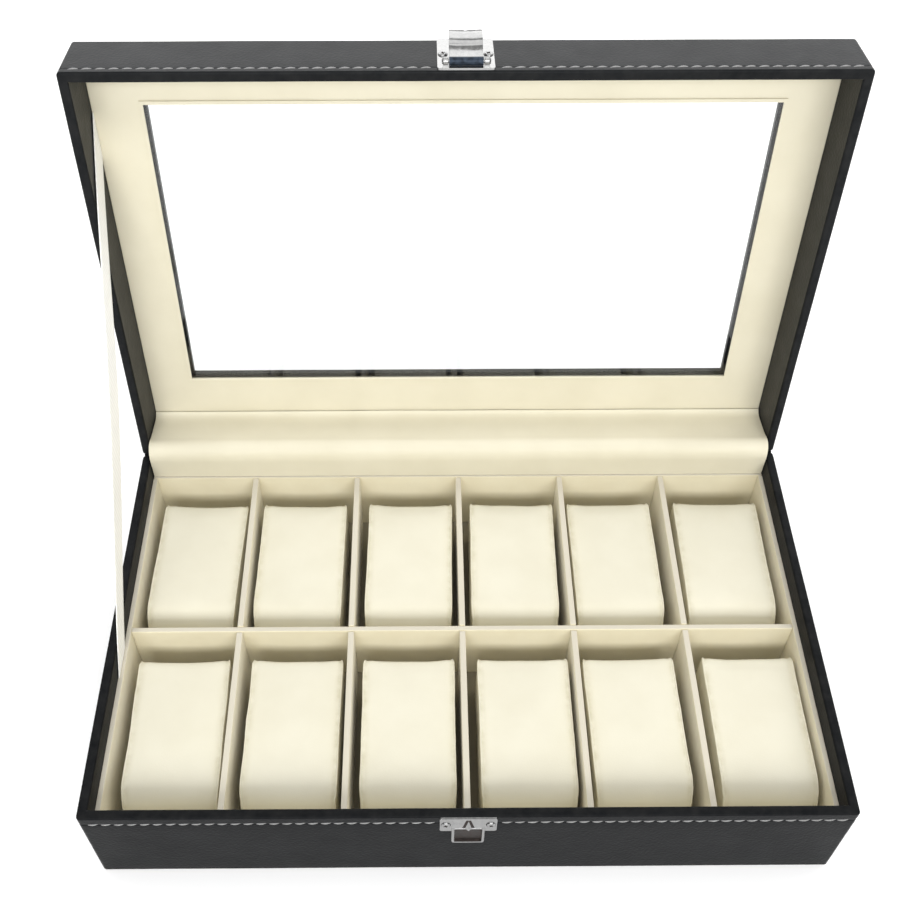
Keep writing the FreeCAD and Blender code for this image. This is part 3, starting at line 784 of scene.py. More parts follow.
def outer_leather():
    """The black strip behind the hinge, glued to the back of the base and to the back of the lid."""
    low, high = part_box("outer_hinge_leather")
    thickness = 0.6 * MM
    glue = 0.05 * MM
    off_face = thickness / 2 + glue
    back = OUTSIDE[3] + off_face
    corner_z = HINGE.z - off_face - glue
    lean = -math.radians(joint("lid_hinge")["range_deg"][0]) - math.pi / 2
    reach = high.y - thickness / 2 * math.sin(lean) - back
    path = [(back, low.z), (back, corner_z), (back + reach, corner_z - reach * math.tan(lean))]
    path = with_steps(path, 3 * MM)
    bm = hinge_sheet(path, low.x, high.x, 40, 0.0)
    piece = new_piece("outer_leather", bm, BASE_BLACK)
    thicken(piece, thickness, 0.2 * MM)
    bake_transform(piece)
    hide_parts("outer_hinge_leather")


RIBBON_CUTS = (48, 6)  # along it and across it
RIBBON_BOW = 1.6 * MM
RIBBON_TWIST = 0.8 * MM


def ribbon():
    """The ribbon that holds the lid: from the tray's liner up to the inner frame, with a slight twist."""
    corners = sorted((v.co for v in frame["nodes"]["ribbon_stay"].data.vertices), key=lambda p: p.z)
    lower, upper = corners[: len(corners) // 2], corners[len(corners) // 2 :]
    foot_front = min(lower, key=lambda p: p.y)
    foot_back = max(lower, key=lambda p: p.y)
    head_low, head_high = sorted({(round(p.y, 6), round(p.z, 6)) for p in upper}, key=lambda p: p[1])
    x = (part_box("ribbon_stay")[0].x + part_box("ribbon_stay")[1].x) / 2
    foot = [Vector((x, foot_front.y, foot_front.z)), Vector((x, foot_back.y, foot_back.z))]
    head = [Vector((x, *head_high)), Vector((x, *head_low))]
    along_cuts, across_cuts = RIBBON_CUTS
    bm = bmesh.new()
    rows = []
    for cut in range(along_cuts + 1):
        share = cut / along_cuts
        front = foot[0].lerp(head[0], share)
        back = foot[1].lerp(head[1], share)
        swing = math.sin(math.pi * share)
        row = []
        for step in range(across_cuts + 1):
            point = front.lerp(back, step / across_cuts)
            point.x += RIBBON_BOW * swing ** 2 + RIBBON_TWIST * swing * (step / across_cuts - 0.5)
            row.append(bm.verts.new(point))
        rows.append(row)
    skin(bm, rows)
    piece = new_piece("ribbon", bm, RIBBON)
    thicken(piece, 0.4 * MM, 0.12 * MM)
    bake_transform(piece)
    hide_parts("ribbon_stay")


# ---- The watch pillows: a strip round the ends, a panel on each long side, stuffed by simulation ----

PILLOW_CELLS = (16, 28, 12)  # across, along and up
PILLOW_START = 0.7 * MM  # how much shorter and lower than its CAD solid a cover starts, on every side
PILLOW_ROLLS = (4 * MM, 4 * MM, 4.2 * MM, 13 * MM)  # bottom front, bottom back, top back, top front
PILLOW_WAIST = 0.018  # how far the sides pull in between the ends, as a share of the width
PILLOW_WIDTH = 39.2 * MM
PILLOW_LENGTH = 70 * MM
PILLOW_CLOTH = {
    "quality": 6,
    "mass": 0.2,
    "tension_stiffness": 18,
    "compression_stiffness": 18,
    "shear_stiffness": 8,
    "bending_stiffness": 0.6,
    "use_pressure": True,
    "uniform_pressure_force": 30.0,
    "vertex_group_mass": "seam",
}
PILLOW_FRAMES = 20
PILLOW_CAP = 2.6 * MM  # the furthest that the stuffing moves any point


def pillow_outline(length, height):
    """The side view as four runs of (y, z): bottom, back, top and front, each to the middle of a corner."""
    radii = [radius - PILLOW_START for radius in PILLOW_ROLLS]
    half = length / 2
    corners = (
        (-half + radii[0], radii[0], radii[0], 180),
        (half - radii[1], radii[1], radii[1], 270),
        (half - radii[2], height - radii[2], radii[2], 0),
        (-half + radii[3], height - radii[3], radii[3], 90),
    )
    halves = []
    for y, z, radius, start in corners:
        halves.append([quarter(y, z, radius, start + turn, start + turn + 45, 6) for turn in (0, 45)])
    bottom = halves[0][1] + halves[1][0]
    back = halves[1][1] + halves[2][0]
    top = (halves[2][1] + halves[3][0])[::-1]
    front = (halves[3][1] + halves[0][0])[::-1]
    return bottom, back, top, front


def resample(path, cells):
    """The path cut into equally long cells."""
    total = path_length(path)
    points = [path[0]]
    walked = 0.0
    for before, after in zip(path, path[1:]):
        step = math.dist(before, after)
        while step > 0 and len(points) < cells and walked + step >= total * len(points) / cells - 1e-12:
            share = (total * len(points) / cells - walked) / step
            points.append(between(before, after, share))
        walked += step
    points.append(path[-1])
    return points


def pillow_grid(width, length, height):
    """Positions by (across, along, up) for every grid point on the pillow's skin."""
    cells_x, cells_y, cells_z = PILLOW_CELLS
    bottom, back, top, front = pillow_outline(length, height)
    bottom, top = resample(bottom, cells_y), resample(top, cells_y)
    back, front = resample(back, cells_z), resample(front, cells_z)

    def side_point(j, k):
        u, v = j / cells_y, k / cells_z
        flat = []
        for axis in (0, 1):
            ruled = (1 - v) * bottom[j][axis] + v * top[j][axis]
            ruled += (1 - u) * front[k][axis]
            ruled += u * back[k][axis]
            low = (1 - u) * bottom[0][axis] + u * bottom[-1][axis]
            high = (1 - u) * top[0][axis] + u * top[-1][axis]
            flat.append(ruled - (1 - v) * low - v * high)
        return flat

    points = {}
    for j in range(cells_y + 1):
        for k in range(cells_z + 1):
            y, z = side_point(j, k)
            on_strip = j in (0, cells_y) or k in (0, cells_z)
            for i in range(cells_x + 1) if on_strip else (0, cells_x):
                side = 2 * i / cells_x - 1
                x = (1.25 * side - 0.25 * side ** 3) * width / 2  # columns lie closer near the seams
                pull = PILLOW_WAIST * math.cos(math.pi * y / length) * (1 - 0.5 * z / height)
                points[(i, j, k)] = Vector((x * (1 - pull), y, z))
    return points


def grid_faces():
    """The grid keys of each face on the pillow's skin."""
    cells_x, cells_y, cells_z = PILLOW_CELLS
    faces = []
    for i in range(cells_x):
        for j in range(cells_y):
            for k in (0, cells_z):
                faces.append(((i, j, k), (i + 1, j, k), (i + 1, j + 1, k), (i, j + 1, k)))
        for k in range(cells_z):
            for j in (0, cells_y):
                faces.append(((i, j, k), (i + 1, j, k), (i + 1, j, k + 1), (i, j, k + 1)))
    for j in range(cells_y):
        for k in range(cells_z):
            for i in (0, cells_x):
                faces.append(((i, j, k), (i, j + 1, k), (i, j + 1, k + 1), (i, j, k + 1)))
    return faces


def on_seam(key):
    """Whether a grid point lies on the seam between the strip and a side panel."""
    i, j, k = key
    return i in (0, PILLOW_CELLS[0]) and (j in (0, PILLOW_CELLS[1]) or k in (0, PILLOW_CELLS[2]))


def pillow_place(node):
    """The middle of a pillow's underside and its turn about Z, read from the CAD node's vertices."""
    low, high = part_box(node)
    middle = (low + high) / 2
    flat = [(v.co.x - middle.x, v.co.y - middle.y) for v in frame["nodes"][node].data.vertices]
    spread_x = sum(x * x for x, _ in flat)
    spread_y = sum(y * y for _, y in flat)
    shared = sum(x * y for x, y in flat)
    turn = 0.5 * math.atan2(-2 * shared, spread_y - spread_x)
    return Vector((middle.x, middle.y, low.z)), turn, high.z - low.z


def pillow_cover(name, size):
    """The sewn cover before it is stuffed, about its own underside, with its seams in a vertex group."""
    width = size[0]
    length, height = (extent - 2 * PILLOW_START for extent in size[1:])
    points = pillow_grid(width, length, height)
    bm = bmesh.new()
    vertices = {key: bm.verts.new(point) for key, point in points.items()}
    for keys in grid_faces():
        bm.faces.new([vertices[key] for key in keys])
    seam = [number for number, key in enumerate(points) if on_seam(key)]
    piece = new_piece(name, bm, PILLOW)
    piece.vertex_groups.new(name="seam").add(seam, 1.0, "REPLACE")
    return piece, list(points)


def stuff(pieces):
    """Blows the covers up between their seams, all at once, and keeps the shape they reach."""
    for piece in pieces:
        settings = piece.modifiers.new("cloth", "CLOTH").settings
        for name, setting in PILLOW_CLOTH.items():
            setattr(settings, name, setting)
        settings.effector_weights.gravity = 0
    scene = bpy.context.scene
    for number in range(1, PILLOW_FRAMES + 1):
        scene.frame_set(number)
    graph = bpy.context.evaluated_depsgraph_get()
    for piece in pieces:
        # Taken from all vertices before any is moved, because a move changes what the graph gives.
        stuffed = [v.co.copy() for v in piece.evaluated_get(graph).data.vertices]
        for vertex, place in zip(piece.data.vertices, stuffed):
            move = place - vertex.co
            if move.length > PILLOW_CAP:
                move *= PILLOW_CAP / move.length
            vertex.co += move
    for piece in pieces:
        piece.modifiers.clear()
    scene.frame_set(1)


PIPING_RADIUS = 0.42 * MM
PIPING_SIDES = 6
# How much of the darker seam colour the welt takes: painted shade.
PIPING_SHADE = 0.35
LUMPS = (15 * MM, 0.25 * MM)  # the length and the height of the stuffing's lumps
PUCKERS = (3.4 * MM, 0.14 * MM, 2.6 * MM)  # their length, their height and how far they reach from the seam
CHANNEL = (1.6 * MM, 0.9 * MM, 0.26 * MM)  # beside the seam: how far from it, its width and its depth
EAR = (4.5 * MM, 0.8 * MM, 0.3 * MM)  # a corner's size, and how far it stands up and back
TUCK_BACK = (0.9 * MM, 2.2 * MM)  # how far a corner is tucked in, and over what length
TUCK_FRONT = (0.8 * MM, 6 * MM)
TUCK_REACH = 4 * MM
SINK = (3.5 * MM, 0.25 * MM, 0.3 * MM)  # the back edge: its size, and how far it sinks down and in
CREASE = (5.5 * MM, 2.4 * MM, 0.30 * MM)  # how far it is from the back, its width and its depth
SEAM_SHADE = (1.0 * MM, 1.3 * MM, 0.75)  # painted shade beside the seam: how far it is from the seam, its width and its share


def seam_loops():
    """The grid keys of the two seams, each in order round its side panel."""
    cells_x, cells_y, cells_z = PILLOW_CELLS
    round_panel = [(j, 0) for j in range(cells_y)]
    round_panel += [(cells_y, k) for k in range(cells_z)]
    round_panel += [(j, cells_z) for j in range(cells_y, 0, -1)]
    round_panel += [(0, k) for k in range(cells_z, 0, -1)]
    return [[(i, j, k) for j, k in round_panel] for i in (0, cells_x)]


def piping(bm, line):
    """A thin welt sewn into a seam: a tube round the closed line of (point, outward) pairs."""
    rings = []
    for number, (point, outward) in enumerate(line):
        along = (line[(number + 1) % len(line)][0] - line[number - 1][0]).normalized()
        across = along.cross(outward).normalized()
        outward = across.cross(along)
        circle = []
        for side in range(PIPING_SIDES):
            angle = math.tau * side / PIPING_SIDES
            circle.append(point + (outward * math.cos(angle) + across * math.sin(angle)) * PIPING_RADIUS)
        rings.append(circle)
    return [vertex for layer in loft(bm, rings, closed=True) for vertex in layer]


def fade(distance, width):
    """1 at no distance, falling off smoothly over the width."""
    return math.exp(-((distance / width) ** 2))


def sewn_shape(point, normal, size, seed):
    """Where a point of the stuffed cover ends up once it is sewn, and how much painted shade its leather
    gets beside the seam.
    """
    half_width, half_length = size[0] / 2, size[1] / 2
    offset = Vector((seed * 7.3, seed * 3.1, seed * 5.7))
    from_side = abs(half_width - abs(point.x))
    from_back = half_length - point.y
    from_front = point.y + half_length
    on_top = max(0.0, normal.z)
    middle = math.sqrt(max(0.0, 1 - (point.x / half_width) ** 2))
    place = point + normal * (LUMPS[1] * noise.noise((point + offset) / LUMPS[0]))

    # Puckers along the seam, and the shallow channel beside it.
    pucker = noise.noise(Vector((point.y / PUCKERS[0], point.z / PUCKERS[0], seed * 2.0)))
    place += normal * (PUCKERS[1] * pucker * math.exp(-from_side / PUCKERS[2]))
    place -= normal * (CHANNEL[2] * fade(from_side - CHANNEL[0], CHANNEL[1]))

    # Ears at the back corners, and all corners rounded as seen from above.
    ear = math.exp(-(from_back ** 2 + from_side ** 2) / (2 * EAR[0] ** 2))
    lift = 1.0 + 0.5 * noise.noise(offset + Vector((math.copysign(3.0, point.x), 0, 0)))
    place.z += on_top * lift * EAR[1] * ear
    place.y += lift * EAR[2] * ear
    tuck = TUCK_BACK[0] * fade(from_back, TUCK_BACK[1]) + TUCK_FRONT[0] * fade(from_front, TUCK_FRONT[1])
    place.x *= 1 - tuck / half_width * math.exp(-from_side / TUCK_REACH)

    # The back edge sinks between the ears, with a crease in front of it.
    sink = fade(from_back, SINK[0]) * middle
    place.z -= on_top * SINK[1] * sink
    place.y -= SINK[2] * sink
    depth = CREASE[2] * (1 + noise.noise(offset * 1.7))
    place.z -= on_top * depth * middle * fade(from_back - CREASE[0], CREASE[1])
    place.z = max(place.z, 0.0)
    # The darker band along the channel beside the seam is painted shade.
    return place, SEAM_SHADE[2] * fade(from_side - SEAM_SHADE[0], SEAM_SHADE[1])


def dress(piece, keys, size, seed):
    """Sews the stuffed cover: finer faces, puckers, ears and creases, and a welt along both seams."""
    subdivide = piece.modifiers.new("smooth", "SUBSURF")
    subdivide.levels = subdivide.render_levels = 1
    graph = bpy.context.evaluated_depsgraph_get()
    bm = bmesh.new()
    bm.from_mesh(piece.evaluated_get(graph).to_mesh())
    piece.modifiers.clear()
    bm.verts.ensure_lookup_table()
    bm.normal_update()
    wear_and_shade = bm.verts.layers.float.new("wear_and_shade")
    sewn = [sewn_shape(v.co.copy(), v.normal.copy(), size, seed) for v in bm.verts]
    # Each vertex takes its share of painted shade beside the seam.
    for vertex, (place, seam_shade) in zip(bm.verts, sewn):
        vertex.co = place
        vertex[wear_and_shade] = seam_shade
    bm.normal_update()
    number_of = {key: number for number, key in enumerate(keys)}
    for loop in seam_loops():
        corners = [bm.verts[number_of[key]] for key in loop]
        line = [(v.co.copy(), v.normal.copy()) for v in corners]
        # The welt takes painted shade too.
        for vertex in piping(bm, line):
            vertex[wear_and_shade] = PIPING_SHADE
        bm.verts.ensure_lookup_table()
    for face in bm.faces:
        face.smooth = True
    bmesh.ops.recalc_face_normals(bm, faces=bm.faces)
    bm.to_mesh(piece.data)
    bm.free()


def pillows():
    """All twelve covers; each has its own seed for its lumps, ears and crease, so that no two look alike."""
    made = []
    for name in [f"{row}_{column}" for row in ("front", "back") for column in range(1, 7)]:
        place, turn, height = pillow_place(f"watch_pillow_{name}")
        size = (PILLOW_WIDTH, PILLOW_LENGTH, height)
        piece, keys = pillow_cover(f"pillow_{name}", size)
        made.append((name, piece, keys, size, Matrix.Translation(place) @ Matrix.Rotation(turn, 4, "Z")))
    stuff([entry[1] for entry in made])
    for seed, (name, piece, keys, size, placed) in enumerate(made, start=1):
        dress(piece, keys, size, seed)
        piece.data.transform(placed)
        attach(piece, f"pillow_{name}")
        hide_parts(f"watch_pillow_{name}", f"pillow_core_{name}")


# ---- The hasp and its keeper: pressed plates with rounded edges, screws, and the curved flap ----

METAL_EDGE = 0.16 * MM
TURN_STEPS = 24
TO_FRONT = Matrix(((1, 0, 0), (0, 0, -1), (0, 1, 0)))  # turns a shape's own Z toward -Y
TO_RIGHT = Matrix(((0, 0, 1), (0, 1, 0), (-1, 0, 0)))  # and toward +X
FACE_Y = BASE_LOW.y
PLATE = 0.8 * MM
RECESS = 1  # the second material of a piece, painted shade in its hollows
SHADOW_PROUD = 0.03 * MM  # how far a dark face stands off the plate that it is laid on


def pressed_plate(bm, outline, y, proud, material=0):
    """A plate standing proud of y, from (x, z) points, with its front edges rounded."""
    before = set(bm.faces)
    front = capped(bm, [[(x, y - back, z) for x, z in outline] for back in (0, proud)])[1]
    bmesh.ops.bevel(bm, geom=list(front.edges), offset=METAL_EDGE, segments=2, affect="EDGES", profile=0.6)
    for face in set(bm.faces) - before:
        face.material_index = material


def darken(layers):
    """Gives the dark second material, painted shade, to the faces that have all their corners in these
    layers.
    """
    corners = {vertex for layer in layers for vertex in layer}
    for face in {face for vertex in corners for face in vertex.link_faces}:
        if corners.issuperset(face.verts):
            face.material_index = RECESS


def rounded(corners, radius, steps=5):
    """The (x, z) corners with each one rounded."""
    points = []
    for n, corner in enumerate(corners):
        here = Vector(corner)
        start = here + (Vector(corners[n - 1]) - here).normalized() * radius
        end = here + (Vector(corners[(n + 1) % len(corners)]) - here).normalized() * radius
        for step in range(steps + 1):
            share = step / steps
            point = start.lerp(here, share).lerp(here.lerp(end, share), share)
            points.append((point.x, point.y))
    return points


def rectangle(half_width, low, high):
    return ((-half_width, low), (half_width, low), (half_width, high), (-half_width, high))


def turned(bm, profile, centre, turn, lobes=0.0, first_dark=None):
    """A turned shape from (radius, height) points; lobes pinches it to a cross, dark with painted shade from
    one ring on.
    """
    rings = []
    for number, (radius, height) in enumerate(profile):
        circle = []
        pinch = lobes if first_dark is not None and number >= first_dark else 0.0
        for step in range(TURN_STEPS):
            angle = math.tau * step / TURN_STEPS
            reach = radius * (1 - pinch * math.sin(2 * angle) ** 2)
            point = Vector((reach * math.cos(angle), reach * math.sin(angle), height))
            circle.append(centre + turn @ point)
        rings.append(circle)
    layers = capped(bm, rings)[0]
    if first_dark is not None:
        darken(layers[first_dark:])


# A head's (radius, height), in millimetres: the dome, and from SCREW_DARK_FROM on its recess.
SCREW_DOME = ((1.90, 0.00), (1.88, 0.18), (1.76, 0.38), (1.52, 0.56), (1.22, 0.68), (1.06, 0.69))
SCREW_RECESS = ((0.96, 0.60), (0.60, 0.20), (0.25, 0.05))
SCREW_PROFILE = SCREW_DOME + SCREW_RECESS
SCREW_DARK_FROM = len(SCREW_DOME)


def screws(name, node, body, z, matrix=None):
    """Two domed heads, each with a cross recess darkened as painted shade."""
    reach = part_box(node)[1].x - SCREW_PROFILE[0][0] * MM
    profile = [(radius * MM, height * MM) for radius, height in SCREW_PROFILE]
    bm = bmesh.new()
    for x, spin in ((-reach, 0.35), (reach, 1.0)):
        turn = TO_FRONT @ Matrix.Rotation(spin, 3, "Z")
        turned(bm, profile, Vector((x, FACE_Y - PLATE, z)), turn, 0.5, SCREW_DARK_FROM)
    piece = new_piece(name, bm, CHROME, matrix)
    piece.data.materials.append(DARK_METAL)
    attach(piece, body)
    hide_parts(node)


KNUCKLE_GAP = 0.3 * MM
KNUCKLE_WIDTH = 2.0 * MM
PIN_RADIUS = 0.68 * MM
PIN_HEAD = ((0.8, 0), (1.1, 0.12), (1.05, 0.3), (0.7, 0.4))  # (radius, height), in millimetres


def barrel(bm, radius, low, high, centre):
    """A short cylinder along X with rounded ends."""
    edge = 0.2 * MM
    profile = [(radius - edge, low), (radius, low + edge), (radius, high - edge), (radius - edge, high)]
    turned(bm, profile, Vector((0, centre.y, centre.z)), TO_RIGHT)


def hasp():
    low, high = shut_box("hasp_plate")
    half = high.x
    pin_low, pin_high = shut_box("hasp_pin")
    flap_half = shut_box("hasp_flap")[1].x
    knuckle = (flap_half + KNUCKLE_GAP, flap_half + KNUCKLE_GAP + KNUCKLE_WIDTH)
    radius = PIN.y - low.y
    bm = bmesh.new()
    pressed_plate(bm, rounded(rectangle(half, low.z, high.z), 0.9 * MM), FACE_Y, PLATE)
    for start, end in (knuckle, (-knuckle[1], -knuckle[0])):
        barrel(bm, radius, start, end, PIN)
        foot = rectangle((end - start) / 2, PIN.z - radius * 0.8, PIN.z + radius * 0.8)
        middle = (start + end) / 2
        outline = [(middle + x, z) for x, z in foot]
        pressed_plate(bm, outline, FACE_Y - PLATE / 2, FACE_Y - PLATE / 2 - PIN.y)
    # A thin dark plate of painted shade on the back plate, where the flap stands over it.
    shade_patch = rounded(rectangle(flap_half, low.z + 1.0 * MM, PIN.z + 2.4 * MM), 0.8 * MM)
    pressed_plate(bm, shade_patch, FACE_Y - PLATE / 2, PLATE / 2 + SHADOW_PROUD, RECESS)
    piece = new_piece("hasp_back_plate", bm, CHROME, LID_OPEN)
    piece.data.materials.append(BLUE_SHADE_METAL)
    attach(piece, "lid")
    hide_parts("hasp_plate")
    weigh_normals(piece)

    bm = bmesh.new()
    barrel(bm, PIN_RADIUS, pin_low.x, pin_high.x, PIN)
    for side in (-1, 1):
        head = [(radius * MM, side * (knuckle[1] + height * MM)) for radius, height in PIN_HEAD]
        turned(bm, head, Vector((0, PIN.y, PIN.z)), TO_RIGHT)
    piece = new_piece("hasp_hinge_pin", bm, CHROME, LID_OPEN)
    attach(piece, "lid")
    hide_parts("hasp_pin")


TONGUE = 0.7 * MM
TONGUE_CURL = 1.15 * MM  # the radius of the rolled end's middle line
TONGUE_SIDE = ((0.0, 1.5), (0.0, 8.6), (0.9, 9.9), (1.15, 11.0), (1.0, 14.2), (0.4, 15.6), (-0.3, 17.0))
TIP_RADIUS = 1.4 * MM
NOTCH = (0.8 * MM, 0.9 * MM)  # half its width, and its depth


def hasp_tongue():
    """The flap: rolled round its pin, curved over the nub, and notched and rounded at its lip."""
    half = shut_box("hasp_flap")[1].x
    roll = []
    for degrees in range(-50, 181, 15):
        angle = math.radians(degrees)
        roll.append((PIN.y + TONGUE_CURL * math.cos(angle), PIN.z + TONGUE_CURL * math.sin(angle)))
    tongue = [(PIN.y - TONGUE_CURL + behind * MM, PIN.z - below * MM) for behind, below in TONGUE_SIDE]
    path = roll + cut_corners(tongue, 3)
    walked = [path_length(path[: n + 1]) for n in range(len(path))]
    total = walked[-1]
    crown = 0.35 * MM
    outward = [NOTCH[0] / half, 0.35, 0.6, 0.85, 0.97, 1.0]
    columns = [-share for share in reversed(outward)] + outward
    bm = bmesh.new()
    rows = []
    for (y, z), distance in zip(path, walked):
        over = max(0.0, distance - (total - TIP_RADIUS))
        reach = half - TIP_RADIUS + math.sqrt(max(0.0, TIP_RADIUS ** 2 - over ** 2))
        arch = crown * min(1.0, max(0.0, (PIN.z - z) / (6 * MM)))
        rows.append([bm.verts.new((c * reach, y - arch * (1 - c * c), z)) for c in columns])
    middle = len(columns) // 2 - 1
    # The part rolled round the pin takes the dark bluish material: painted shade and dark reflection.
    for number, (row, following) in enumerate(zip(rows, rows[1:])):
        for n in range(len(columns) - 1):
            if n != middle or total - walked[number] > NOTCH[1]:
                face = bm.faces.new((row[n], row[n + 1], following[n + 1], following[n]))
                face.material_index = RECESS if number < len(roll) else 0
    piece = new_piece("hasp_tongue", bm, CHROME, FLAP_OPEN)
    piece.data.materials.append(BLUE_SHADE_METAL)
    thicken(piece, TONGUE, 0.15 * MM)
    weigh_normals(piece)
    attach(piece, "flap")
    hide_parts("hasp_flap")


CATCH_HALF = 6.4 * MM
CATCH_PROUD = 1.8 * MM
CATCH_TOP = 43.6 * MM
CATCH_RIM = 1.0 * MM
RECESS_PROUD = 0.9 * MM
EARS_LOW = 39 * MM
NUB = (1.9 * MM, 43.5 * MM, 48.4 * MM)  # half its width, and its low and high end
NUB_SLOT = ((-2.4 * MM, 43.9 * MM), (2.4 * MM, 43.9 * MM), (0.9 * MM, 48.6 * MM), (-0.9 * MM, 48.6 * MM))


def keeper():
    """The plate with its two ears, the hollowed catch under it, and the nub that the flap snaps over."""
    low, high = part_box("hasp_keeper")
    bm = bmesh.new()
    ears = rounded(rectangle(high.x, EARS_LOW, high.z), 0.8 * MM)
    pressed_plate(bm, ears, FACE_Y, PLATE)
    top = high.z - 2 * METAL_EDGE
    back = FACE_Y - PLATE / 2
    shoulder = [(back, CATCH_TOP), (back, top), (FACE_Y - PLATE, top), (FACE_Y - CATCH_PROUD, CATCH_TOP)]
    capped(bm, [[(x, y, z) for y, z in shoulder] for x in (-CATCH_HALF, CATCH_HALF)])

    outer = rounded(rectangle(CATCH_HALF, low.z, CATCH_TOP), 1.3 * MM)
    lip = rounded(rectangle(CATCH_HALF - METAL_EDGE, low.z + METAL_EDGE, CATCH_TOP - METAL_EDGE), 1.2 * MM)
    edge = CATCH_HALF - CATCH_RIM
    rim = rounded(rectangle(edge, low.z + CATCH_RIM, CATCH_TOP - CATCH_RIM), 0.8 * MM)
    hollow = rounded(rectangle(edge - 0.3 * MM, low.z + 1.3 * MM, CATCH_TOP - 1.3 * MM), 0.6 * MM)
    steps = (
        (outer, 0.0),
        (outer, CATCH_PROUD - METAL_EDGE),
        (lip, CATCH_PROUD),
        (rim, CATCH_PROUD),
        (hollow, RECESS_PROUD),
    )
    # The hollow's wall and floor take the dark material: painted shade.
    darken(capped(bm, [[(x, FACE_Y - proud, z) for x, z in outline] for outline, proud in steps])[0][-2:])

    # The slot in the shoulder's slope, a shallow prism darkened as painted shade, and the nub that comes out
    # of it.
    slot = []
    for depth in (-0.3 * MM, 0.0):
        slope = [PLATE + (CATCH_PROUD - PLATE) * (top - z) / (top - CATCH_TOP) for _, z in NUB_SLOT]
        slot.append([(x, FACE_Y - y - 0.04 * MM - depth, z) for (x, z), y in zip(NUB_SLOT, slope)])
    darken(capped(bm, slot)[0])
    half, nub_low, nub_high = NUB
    foot = FACE_Y - CATCH_PROUD + 0.4 * MM
    peak = (0, FACE_Y - 0.95 * MM, nub_high)
    feet = [(-half, foot, nub_low), (half, foot, nub_low), (0, low.y, nub_low)]
    points = [bm.verts.new(corner) for corner in [*feet, peak]]
    for corners in combinations(points, 3):
        bm.faces.new(corners)
    piece = new_piece("keeper", bm, CHROME)
    piece.data.materials.append(DARK_METAL)
    weigh_normals(piece)
    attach(piece, "base")
    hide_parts("hasp_keeper")


# ---- CAD nodes that stay: softened edges and procedural materials ----


def soften(node, width):
    """Rounds a CAD node's edges with modifiers, which leave its mesh as it is."""
    piece = frame["nodes"][node]
    piece.modifiers.new("joined corners", "WELD").merge_threshold = 0.002 * MM
    round_edges(piece, width, 3, 40)
    piece.modifiers.new("weighted normals", "WEIGHTED_NORMAL")


def cover(material, *nodes):
    for node in nodes:
        materials = frame["nodes"][node].data.materials
        materials.clear()
        materials.append(material)


def cad_nodes():
    cover(BOARD, "base_bottom_panel", "lid_top_board")
    cover(SHADE_DARKENED_FLOOR_LINING, "tray_floor")
    cover(FELT, "base_underside_felt")
    for side in ("front", "back", "left", "right"):
        cover(BOARD, f"base_{side}_wall", f"lid_{side}_wall")
        cover(LINING, f"tray_liner_{side}")
        soften(f"tray_liner_{side}", 0.5 * MM)
    for node in ["row_divider"] + [f"column_divider_{n}" for n in range(1, 6)]:
        cover(LINING, node)
        soften(node, 0.6 * MM)


# ---- The stage: floor, light and camera ----


def floor():
    bm = bmesh.new()
    bmesh.ops.create_circle(bm, cap_ends=True, segments=96, radius=8.0)
    material, tree, shader, where = start_material("floor", Roughness=0.8, Specular_IOR_Level=0.1)
    shade = remap(tree, speckle(tree, where, 0.4), 0.3, 0.7)
    colour = blend_colours(tree, shade, (0.93, 0.93, 0.93), (0.94, 0.94, 0.94))
    tree.links.new(colour, shader.inputs["Base Color"])
    shader.inputs["Emission Color"].default_value = (1.0, 1.0, 1.0, 1.0)
    shader.inputs["Emission Strength"].default_value = 0.12
    piece = new_piece("floor", bm, material)


def area_light(name, place, aim, size, power):
    light = bpy.data.lights.new(name, "AREA")
    light.shape = "RECTANGLE"
    light.size, light.size_y = size
    light.energy = power
    lamp = bpy.data.objects.new(name, light)
    bpy.context.scene.collection.objects.link(lamp)
    lamp.location = place
    lamp.rotation_euler = (Vector(aim) - Vector(place)).to_track_quat("-Z", "Y").to_euler()
    lamp.visible_camera = False


DARK_STUDIO = (0.42, 0.42, 0.42)
PALE_STUDIO = (0.62, 0.62, 0.62)


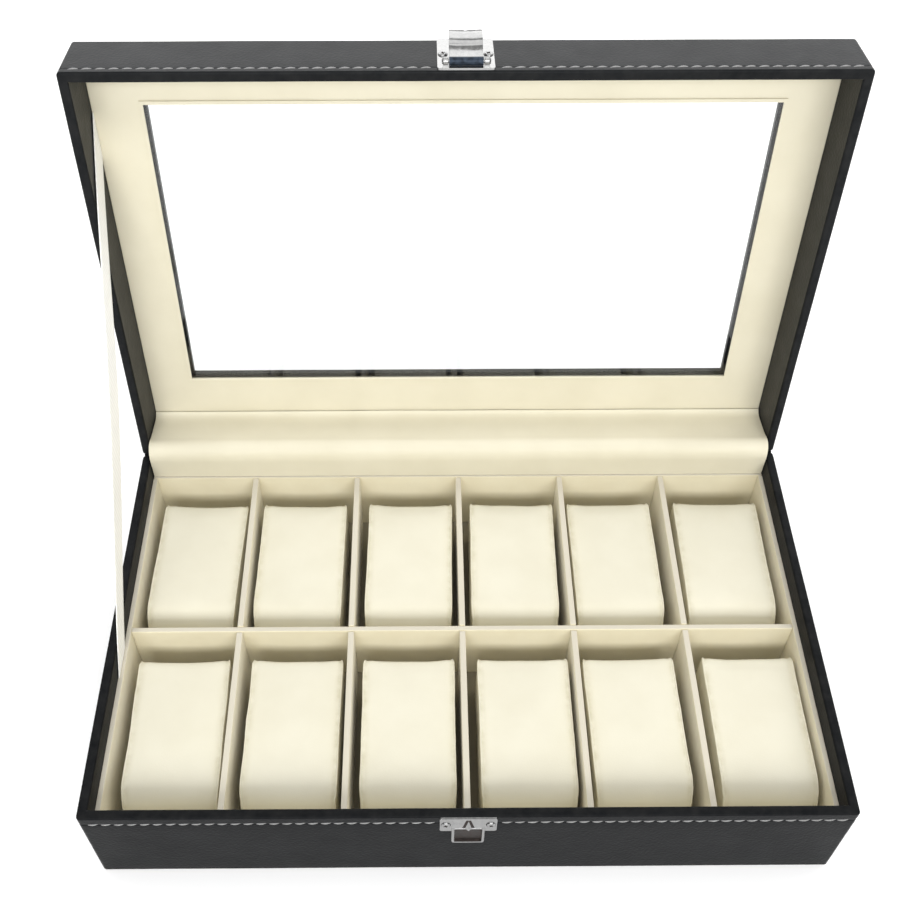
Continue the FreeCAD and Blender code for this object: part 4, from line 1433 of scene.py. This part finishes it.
def lights():
    world = bpy.data.worlds.new("studio")
    bpy.context.scene.world = world
    world.use_nodes = True
    tree = world.node_tree
    background = tree.nodes["Background"]
    direction = add_node(tree, "ShaderNodeTexCoord").outputs["Generated"]
    toward_back = add_node(tree, "ShaderNodeSeparateXYZ", {"Vector": direction}).outputs["Y"]
    shade = remap(tree, toward_back, -0.5, 0.5)
    tree.links.new(blend_colours(tree, shade, DARK_STUDIO, PALE_STUDIO), background.inputs["Color"])
    middle = (0, 0.05, 0.08)
    area_light("front", (0.15, -2.0, 1.3), middle, (2.4, 0.8), 45)
    area_light("top", (0.1, -0.3, 2.2), middle, (2.6, 1.6), 19)
    area_light("rear", (0.3, 2.2, 1.6), middle, (4.0, 2.4), 58)


CAMERA_PLACE = (-16.1 * MM, -283.2 * MM, 472.0 * MM)
CAMERA_DOWN = math.radians(52.5)
CAMERA_YAW = math.radians(0.4)
CAMERA_LENS = 46.3
CAMERA_SHIFT = (0.0326, 0.087)


def camera():
    data = bpy.data.cameras.new("camera")
    data.lens = CAMERA_LENS
    data.sensor_width = 36.0
    data.shift_x, data.shift_y = CAMERA_SHIFT
    data.clip_start = 0.01
    eye = bpy.data.objects.new("camera", data)
    bpy.context.scene.collection.objects.link(eye)
    eye.location = CAMERA_PLACE
    eye.rotation_euler = (math.pi / 2 - CAMERA_DOWN, 0, -CAMERA_YAW)
    bpy.context.scene.camera = eye


# ---- Everything together ----

cad_nodes()
base_leather()
lid_leather()
stitching("base_stitching", BASE_STITCH_Z, gap=13 * MM, body="base")
stitching("lid_stitching", LID_STITCH_Z, gap=12.5 * MM, body="lid", matrix=LID_OPEN)
lid_frame()
glass()
inner_flap()
outer_leather()
ribbon()
hasp()
hasp_tongue()
keeper()
screws("lid_screw_heads", "hasp_screws", "lid", z=LID_LOW.z + 12.5 * MM, matrix=LID_OPEN)
screws("keeper_screw_heads", "keeper_screws", "base", z=44.5 * MM)
pillows()
floor()
lights()
camera()
bpy.context.scene.view_settings.view_transform = "Standard"
